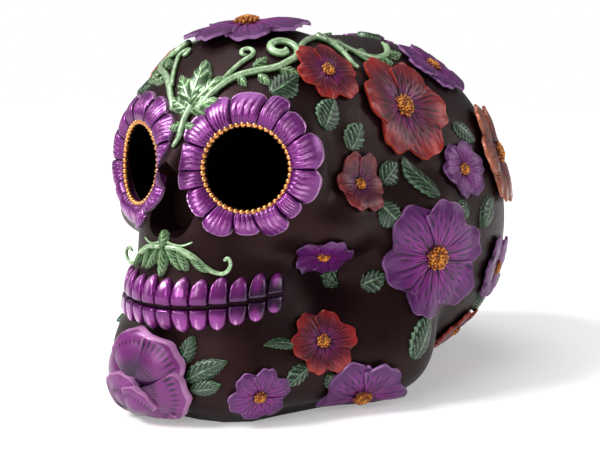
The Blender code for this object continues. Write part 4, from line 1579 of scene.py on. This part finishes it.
# ------------------------------------------------------------------ leaves, sprays and vines
@dataclass
class LeafShape:
    """A serrated leaf with a midrib and side veins."""

    length: float
    width: float
    curl: float = 0.0
    thick: float = 1.15 * MM
    teeth: int = 7
    columns: int = 15
    rows: int = 43

    def add(self, relief: Relief, seat: Seat, foot: np.ndarray, heading: float,
            flatness: float = 0.35, raised: float = 0.0) -> None:
        """Add the leaf to a relief.

        Args:
            relief: Where it goes.
            seat: The seat whose plane foot and heading are in.
            foot: Place across and up of the leaf's foot.
            heading: Angle that it points at.
            flatness: As in Seat.lay.
            raised: Extra height, for a leaf that lies over another.
        """
        s, t = blade_grid(self.rows, self.columns)
        body = np.sin(math.pi * np.clip(s * 0.97 + 0.02, 0, 1) ** 0.78) ** 0.85
        saw = (s * self.teeth) % 1.0
        jag = np.abs(t) ** 3 * (saw - 0.45) * 0.24
        side = self.width / 2 * body * t * (1 + jag)
        along = self.length * (s + 0.05 * np.abs(t) ** 2 * np.sin(math.pi * s) - 0.02)
        bend = self.curl * self.length * (s**2 - 0.3 * s)
        x, y = along, side + bend
        flat = np.stack([foot[0] + x * math.cos(heading) - y * math.sin(heading),
                         foot[1] + x * math.sin(heading) + y * math.cos(heading)], -1)
        rib = np.exp(-((t / 0.10) ** 2)) * np.clip(1.05 - s, 0, 1) ** 0.4
        lines = np.cos(2 * math.pi * (self.teeth * (s - 0.22 * np.abs(t) ** 1.2)
                                      + 0.16 * np.sin(8 * s + 2 * t)))
        veins = np.clip(lines, 0, 1) ** 2 * np.clip(np.abs(t) * 3, 0, 1)
        pillow = (1 - np.abs(t) ** 2.5) ** 0.5 * np.clip(body, 0, 1) ** 0.5
        lift = self.thick * (0.25 + 0.75 * pillow) + MM * (0.16 * veins + 0.2 * rib + 0.1)
        lift = lift + 0.35 * MM * np.sin(math.pi * s) * t + raised
        lift = lift + 0.5 * MM * s**3
        top = seat.lay(flat, lift, flatness)
        bottom = top - seat.out * (self.thick + 0.2 * MM)
        edge = np.clip((np.abs(t) - 0.86) / 0.14, 0, 1) + 0 * s
        # ridge: pale dry-brushed paint and painted highlight on the midrib and veins; darker between
        # them.
        ridge = np.maximum(1.1 * rib, 0.6 * veins) - 0.4 * (1 - np.maximum(rib, veins))
        relief.sheet(top, bottom, s + 0 * t, ridge, edge, t + 0 * s)


@dataclass(frozen=True)
class LeafSpot:
    """A leaf's foot and tip on the skull's own left, its width and its bend."""

    name: str
    foot: Bearing
    tip: Bearing
    width: float
    curl: float = 0.0
    both: bool = True


EXTRA_LEAVES = (
    LeafSpot("chin_leaf_upper", (5.5, -27), (8.5, -22.5), 4.2, 0.1),
    LeafSpot("chin_leaf_middle", (7, -29.5), (15.6, -26), 5.0, -0.1),
    LeafSpot("chin_leaf_lower", (8, -31), (14.8, -30.6), 4.4, 0.1),
    LeafSpot("jaw_leaf_front", (30, -28.5), (23.2, -24.8), 3.0, 0.35),
    LeafSpot("jaw_leaf_lower", (33, -32.5), (27.8, -34.2), 4.4),
    LeafSpot("jaw_leaf_foot", (39.5, -36), (40.5, -40.5), 3.4),
    LeafSpot("rear_leaf_round", (121.5, -27.5), (126, -33.5), 6.4),
    LeafSpot("crown_leaf_side", (104, 28), (110, 20.5), 5.2),
    LeafSpot("crown_leaf_top", (97, 46), (106, 50), 5.2),
    LeafSpot("hollow_leaf", (43.5, -18), (39.8, -24.5), 4.2, 0.1),
    LeafSpot("ear_leaf_under", (92, 3), (88, -1.5), 5.2),
    LeafSpot("back_leaf_upper", (158, 30), (150, 38), 6.5),
    LeafSpot("back_leaf_side", (150, 4), (156, 14), 6.5),
    LeafSpot("back_leaf_lower", (172, -16), (163, -24), 7.0),
    LeafSpot("nape_leaf", (137, -18), (146, -23), 6.0),
    LeafSpot("crown_leaf_back", (152, 62), (168, 66), 5.6),
)


@dataclass
class Greenery:
    """What leaf, spray and vine makers share: the form they lie on and their paint."""

    form: SkullForm
    material: bpy.types.Material

    def between(self, foot: Bearing, tip: Bearing, side: int) -> tuple[np.ndarray, np.ndarray]:
        """Points of the skull at a leaf's foot and tip, as the rows of an array, and their run."""
        ends = self.form.skin(np.array([bearing(side * foot[0], foot[1]),
                                        bearing(side * tip[0], tip[1])]))
        return ends, ends[1] - ends[0]

    def seat_along(self, point: np.ndarray, run: np.ndarray) -> Seat:
        """A seat at a point of the skull whose across axis follows a run.

        Args:
            point: A point of the skull.
            run: Direction to follow.

        Returns:
            The seat.
        """
        out = self.form.normals(point[None], 3 * MM)[0]
        along = unit(run - out * (run @ out))
        return Seat(self.form, point, along, np.cross(out, along), out)


class LeafMaker(Greenery):
    """Makes single leaves, from frame nodes or from spots on the skull."""

    def from_node(self, node: str) -> None:
        """Make the leaf that stands for a frame node.

        Args:
            node: Name of the frame's node.
        """
        points = node_points(node)
        middle, long_axis, out = main_axes(node, self.form.heart)
        seat = seat_toward(self.form, self.form.settle(middle[None])[0], out)
        offset = points - seat.point
        along = unit(long_axis - seat.out * (long_axis @ seat.out))
        beside = np.cross(seat.out, along)
        run, width = offset @ along, np.ptp(offset @ beside)
        if np.abs(offset @ beside)[run > 0].sum() > np.abs(offset @ beside)[run < 0].sum():
            along, beside, run = -along, -beside, -run
        seat = Seat(self.form, seat.point, along, beside, seat.out)
        length = float(np.ptp(run)) * 1.1
        self._make(node, seat, length, float(width) * 1.12, 0.08, node)

    def from_spot(self, spot: LeafSpot) -> None:
        """Make a leaf that the frame has no node for, on one side or both."""
        for side in (1, -1) if spot.both else (1,):
            ends, run = self.between(spot.foot, spot.tip, side)
            seat = self.seat_along(self.form.settle(ends.mean(axis=0)[None])[0], run)
            name = f"{side_word(side)}_{spot.name}"
            self._make(name, seat, float(np.linalg.norm(run)) * 1.05, spot.width * MM,
                       side * spot.curl)

    def _make(self, name: str, seat: Seat, length: float, width: float, curl: float,
              *nodes: str) -> None:
        """Model one leaf centred on its seat, pointing along its across axis.

        Args:
            name: Its name.
            seat: Its seat.
            length: Its length.
            width: Its width.
            curl: Its bend, as a share of the length.
            nodes: The frame nodes that it stands for.
        """
        relief = Relief()
        teeth = 5 if length < 8 * MM else 7
        shape = LeafShape(length, width, curl, teeth=teeth)
        shape.add(relief, seat, np.array([-length / 2, 0]), 0.0)
        leaf = place(relief.build(f"{name}_blade", self.material), "leaf_green", *nodes)
        trim_foot(leaf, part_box("skull_shell")[0].z)


class Sprays(Greenery):
    """The leaf sprays on the forehead and under the nose."""

    def _seat(self, node: str) -> Seat:
        """The seat of a spray, on the skull's middle line.

        Args:
            node: Name of the frame's node.

        Returns:
            The seat.
        """
        middle, _, _ = main_axes(node, self.form.heart)
        point = self.form.settle((middle * np.array([0, 1, 1]))[None])[0]
        return seat_toward(self.form, point, self.form.normals(point[None], 4 * MM)[0])

    def forehead(self, node: str = "forehead_spray") -> None:
        """Model the fan of leaves between the brows.

        Args:
            node: Name of the frame's node.
        """
        seat = self._seat(node)
        low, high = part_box(node)
        size = (high.z - low.z) / 20
        leaves = ((1.6, -3.5, 152, 9, 4.8, 0), (1.8, -3.5, 24, 9, 4.8, 0),
                  (1.4, -1.5, 124, 11, 5.2, 0.2), (2.2, -1.5, 50, 11, 5.2, 0.2),
                  (1.8, -1.0, 86, 13, 5.8, 0.8), (0.9, -7, 200, 5, 2.8, 0),
                  (1.3, -7.5, -16, 5, 2.8, 0))
        relief = Relief()
        for x, y, heading, length, width, raised in leaves:
            shape = LeafShape(length * size, width * size, 0.06, teeth=4, rows=37)
            shape.add(relief, seat, np.array([x, y]) * size, math.radians(heading), 0.3,
                      raised * MM)
        stem = np.array([[0, -14], [0.8, -10.5], [0.8, -6], [1.8, -2]]) * size
        self._stalk(relief, seat, stem, (0.5 * MM, 1.0 * MM), 0.3)
        place(relief.build("forehead_leaves", self.material), "vine_mint", node)

    def moustache(self, node: str = "moustache_spray") -> None:
        """Model the scrolls and hanging leaves under the nose.

        Args:
            node: Name of the frame's node.
        """
        seat = self._seat(node)
        relief = Relief()
        leaves = ((0, 1.4, 268, 7.2, 3.0, 0.5), (-1.4, 1.2, 232, 6.8, 2.6, 0.3),
                  (1.4, 1.2, 308, 6.8, 2.6, 0.3), (4.6, 0.8, 296, 5.4, 2.4, 0.4),
                  (-4.6, 0.8, 244, 5.4, 2.4, 0.4), (8.2, -0.8, 318, 5.0, 2.0, 0.2),
                  (-8.2, -0.8, 222, 5.0, 2.0, 0.2), (0, 1.4, 84, 4.6, 2.4, 0.2))
        for x, y, heading, length, width, raised in leaves:
            shape = LeafShape(length * MM, width * MM, 0.1, teeth=5, rows=31, columns=11)
            shape.add(relief, seat, np.array([x, y]) * MM, math.radians(heading), 0.3,
                      raised * MM)
        for side in (1, -1):
            mirror = np.array([side, 1]) * MM
            scroll = np.array([[1, 1.6], [4.5, 1.4], [8, -0.4], [11, -3.0], [13.8, -4.2],
                               [16, -3.4], [16.9, -1.4], [16.0, 0.0], [15.0, -0.8]]) * mirror
            self._stalk(relief, seat, scroll, (0.7 * MM, 0.45 * MM), 0.55)
            arc = np.array([[0.8, 3.0], [3.0, 2.3], [5.4, 2.3], [7.6, 3.3]]) * mirror
            self._stalk(relief, seat, arc, (0.45 * MM, 0.22 * MM))
        place(relief.build("moustache_leaves", self.material), "vine_mint", node)

    def _stalk(self, relief: Relief, seat: Seat, marks: np.ndarray,
               radii: tuple[float, float], belly: float = 0.0) -> None:
        """Add a tapering stalk through marks in the seat's plane.

        Args:
            relief: Where it goes.
            seat: The seat.
            marks: (n, 2) places across and up.
            radii: Radius at each end.
            belly: How much thicker it is about a third of the way along, as a share.
        """
        flat = np.array([curve_point(marks, share) for share in np.linspace(0, 1, 50)])
        path = respaced(seat.lay(flat, 0.0), 0.5 * MM)
        share = np.linspace(0, 1, len(path))
        taper = radii[0] + (radii[1] - radii[0]) * share
        swell = 1 + belly * np.exp(-(((share - 0.35) / 0.22) ** 2))
        relief.tube(path, taper * swell, self.form)


@dataclass(frozen=True)
class Tendril:
    """A stem of a vine: marks on the skull's own left, and the curl at its end."""

    marks: tuple[Bearing, ...]
    thick: float
    thin: float
    curl_turn: float = 0.0
    curl_radius: float = 0.0


@dataclass(frozen=True)
class VineDesign:
    """A vine: its stems and its small leaves as foot, tip and width."""

    name: str
    stems: tuple[Tendril, ...]
    leaves: tuple[tuple[Bearing, Bearing, float], ...]


BROW_VINE = VineDesign(
    "brow_vine",
    (Tendril(((4, 27), (7, 31), (12, 35.5), (18, 38), (24, 40), (28.5, 43.5)), 0.9, 1.15, 440, 4.6),
     Tendril(((8, 33), (10.5, 37), (13, 40.5), (15, 42.5)), 0.75, 0.65, 330, 2.2)),
    (((17, 39), (20.5, 42.5), 2.6), ((19, 37), (23, 34.5), 2.4), ((25, 39.5), (31, 38.5), 3.0),
     ((13, 36.5), (16.5, 33.5), 2.2)),
)
CROWN_VINE = VineDesign(
    "crown_vine",
    (Tendril(((30.5, 44), (30.5, 49), (34, 55), (40, 60), (50, 63), (66, 62.5), (86, 61),
              (108, 61), (130, 64)), 0.8, 1.0),
     Tendril(((38, 58.5), (45, 59.5), (51, 56), (54, 51)), 1.1, 0.7, 150, 1.6),
     Tendril(((66, 62.5), (74, 58), (84, 56)), 0.8, 0.5, 260, 2.2)),
    (((44, 62), (42, 67.5), 3.4), ((58, 63.5), (64, 69), 3.6), ((76, 61.5), (86, 66), 3.6),
     ((92, 61), (98, 56), 3.4), ((108, 61), (116, 57), 3.6), ((50, 62.5), (58, 59), 3.0)),
)


class VineMaker(Greenery):
    """Lays vines over the skull: tapering stems, curls and small leaves."""

    def build(self, design: VineDesign, side: int) -> None:
        """Model one vine on one side.

        Args:
            design: The vine.
            side: 1 for the left, -1 for the right.
        """
        relief = Relief()
        for stem in design.stems:
            path = self.form.route(stem.marks, side)
            if stem.curl_turn:
                path = self._curled(path, stem, side)
            share = np.linspace(0, 1, len(path))
            radii = (stem.thick + (stem.thin - stem.thick) * share) * MM
            radii = radii * np.clip((1 - share) / 0.06, 0.55, 1)
            relief.tube(path, radii, self.form)
        for foot, tip, width in design.leaves:
            ends, run = self.between(foot, tip, side)
            seat = self.seat_along(ends[0], run)
            shape = LeafShape(float(np.linalg.norm(run)), width * MM, teeth=4, rows=25,
                              columns=11)
            shape.add(relief, seat, np.zeros(2), 0.0)
        name = f"{side_word(side)}_{design.name}"
        place(relief.build(f"{name}_stems", self.material), "vine_mint", name)

    def _curled(self, path: np.ndarray, stem: Tendril, side: int) -> np.ndarray:
        """The path with a spiral crawled on from its end.

        Args:
            path: The stem's path.
            stem: Its design.
            side: Side of the skull, which mirrors the spiral.

        Returns:
            The longer path.
        """
        step = 0.45 * MM
        here, ahead = path[-1], unit(path[-1] - path[-3])
        left = stem.curl_turn
        total = stem.curl_turn
        points = [path]
        while left > 0:
            radius = stem.curl_radius * MM * (0.28 + 0.72 * (left / total))
            turn = step / radius
            left -= math.degrees(turn)
            out = self.form.normals(here[None])[0]
            beside = np.cross(out, ahead) * side
            ahead = unit(ahead * math.cos(turn) + beside * math.sin(turn))
            here = self.form.settle((here + ahead * step)[None])[0]
            points.append(here[None])
        return np.concatenate(points)


# ------------------------------------------------------------------ the studio
def looking(aim: Vector) -> Euler:
    """Turn of a light or camera that looks along a direction."""
    return aim.to_track_quat("-Z", "Y").to_euler()


@dataclass
class Studio:
    """A plain pale floor, soft lights and the camera."""

    azimuth: float = 33.0
    elevation: float = 6.0
    distance: float = 0.33
    target: tuple[float, float, float] = (0.0, 0.0, 0.052)
    lens: float = 65.8
    shift: tuple[float, float] = (-0.0167, -0.0517)
    glow: float = 0.24

    def build(self) -> None:
        """Set up floor, world, lights and camera."""
        view = bpy.context.scene.view_settings
        view.view_transform = "Standard"
        view.look = "None"
        self._floor()
        self._world()
        self._sun("key_light", (-0.62, -0.75, 0.95), 2.9, 22)
        self._light("top_light", (-0.10, -0.05, 0.80), 0.50, 2.2)
        self._light("front_light", (0.05, -1.00, 0.40), 0.45, 2.6)
        self._light("rear_light", (0.75, 0.60, 0.45), 0.40, 2.0)
        self._camera()

    def _floor(self) -> None:
        """A wide pale sheet under the object."""
        bm = bmesh.new()
        bmesh.ops.create_grid(bm, x_segments=8, y_segments=8, size=3.0)
        mesh = mesh_from("studio_floor", bm)
        material = bpy.data.materials.new("studio_paper")
        material.use_nodes = True
        shader = material.node_tree.nodes["Principled BSDF"]
        shader.inputs["Base Color"].default_value = rgba((0.9, 0.9, 0.9))
        shader.inputs["Roughness"].default_value = 0.85
        shader.inputs["Emission Color"].default_value = rgba((1.0, 1.0, 1.0))
        shader.inputs["Emission Strength"].default_value = 0.3
        mesh.materials.append(material)
        linked("studio_floor", mesh)

    def _world(self) -> None:
        """A white surround that is dimmer as a light than it looks."""
        world = bpy.data.worlds.new("studio_world")
        bpy.context.scene.world = world
        world.use_nodes = True
        graph = Graph(world.node_tree)
        back = world.node_tree.nodes["Background"]
        back.inputs["Color"].default_value = rgba((1.0, 1.0, 1.0))
        seen = graph.node("ShaderNodeLightPath").outputs["Is Camera Ray"]
        strength = graph.node("ShaderNodeMapRange", {0: seen, 3: self.glow, 4: 1.0})
        graph.tree.links.new(strength.outputs[0], back.inputs["Strength"])

    def _sun(self, name: str, spot: tuple[float, float, float], power: float,
             softness: float) -> None:
        """A soft light that falls evenly from the direction of a spot.

        Args:
            name: Its name.
            spot: Place that it shines from.
            power: Its strength.
            softness: Its width in degrees.
        """
        light = bpy.data.lights.new(name, "SUN")
        light.energy = power
        light.angle = math.radians(softness)
        linked(name, light).rotation_euler = looking(-Vector(spot))

    def _light(self, name: str, spot: tuple[float, float, float], size: float,
               power: float) -> None:
        """A soft square light that looks at the object.

        Args:
            name: Its name.
            spot: Its place.
            size: Its width.
            power: Its strength.
        """
        light = bpy.data.lights.new(name, "AREA")
        light.size = size
        light.energy = power
        holder = linked(name, light)
        holder.location = spot
        holder.rotation_euler = looking(Vector(self.target) - Vector(spot))

    def _camera(self) -> None:
        """The camera, at the viewing angle of a shelf at eye level."""
        camera = bpy.data.cameras.new("camera")
        camera.lens = self.lens
        camera.shift_x, camera.shift_y = self.shift
        camera.clip_start = 0.01
        holder = linked("camera", camera)
        away = Vector(bearing(self.azimuth, self.elevation))
        holder.location = Vector(self.target) + away * self.distance
        holder.rotation_euler = looking(-away)
        bpy.context.scene.camera = holder


ATTITUDES = {"crown_side_bloom": (0.16, 0.15), "cheek_bloom": (0.14, 0.0), "ear_bloom": (0.1, 0.0),
             "hollow_bloom": (0.1, 0.55), "brow_bloom": (0.0, 0.15)}


def report(done: str) -> None:
    """Log that a piece is built."""
    LOG.info("built %s", done)


def main() -> None:
    """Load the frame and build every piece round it."""
    logging.basicConfig(level=logging.INFO, format="%(message)s")
    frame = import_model()
    slots = {part["node"]: part["material_slot"] for part in frame["record"]["subparts"]}
    groups = PaintGroups()
    paint = {name: finish.build(groups) for name, finish in FINISHES.items()}
    form = SkullForm.fitted("skull_shell")

    casting = Casting(form).build(paint["dark_casting"], paint["socket"])
    place(casting, "dark_casting", "skull_shell")
    report("skull casting")
    board = frame["nodes"]["base_pad"].data
    board.materials.clear()
    board.materials.append(paint["base_board"])
    for side in (1, -1):
        ring = EyeRing(form, side)
        ring.petals(paint["ring_purple"])
        ring.beading(paint["bead_gold"])
    report("eye rings")
    for node in ("upper_teeth", "lower_teeth"):
        TeethRow(form, node, node == "upper_teeth").build(paint["tooth_purple"])
    report("teeth")
    blooms = sorted(node for node in slots if node.endswith("_bloom") and node != "chin_bloom")
    for node in blooms:
        bloom = Bloom(form, node, *ATTITUDES.get(node.split("_", 1)[1], (0.0, 0.0)))
        petal = "bloom_rust" if node.endswith("_rear_bloom") else slots[node]
        bloom.build(paint[petal], paint["stamen"], slots[node])
        report(node)
    ChinBloom(form).build(paint["chin_mauve"])
    report("chin bloom")
    leaves = LeafMaker(form, paint["leaf_green"])
    for node in sorted(node for node in slots if "_leaf" in node):
        leaves.from_node(node)
    for spot in EXTRA_LEAVES:
        leaves.from_spot(spot)
    report("leaves")
    sprays = Sprays(form, paint["vine_mint"])
    sprays.forehead()
    sprays.moustache()
    report("sprays")
    vines = VineMaker(form, paint["vine_mint"])
    for side in (1, -1):
        vines.build(BROW_VINE, side)
        vines.build(CROWN_VINE, side)
    report("vines")
    Studio().build()


if __name__ == "__main__":
    main()
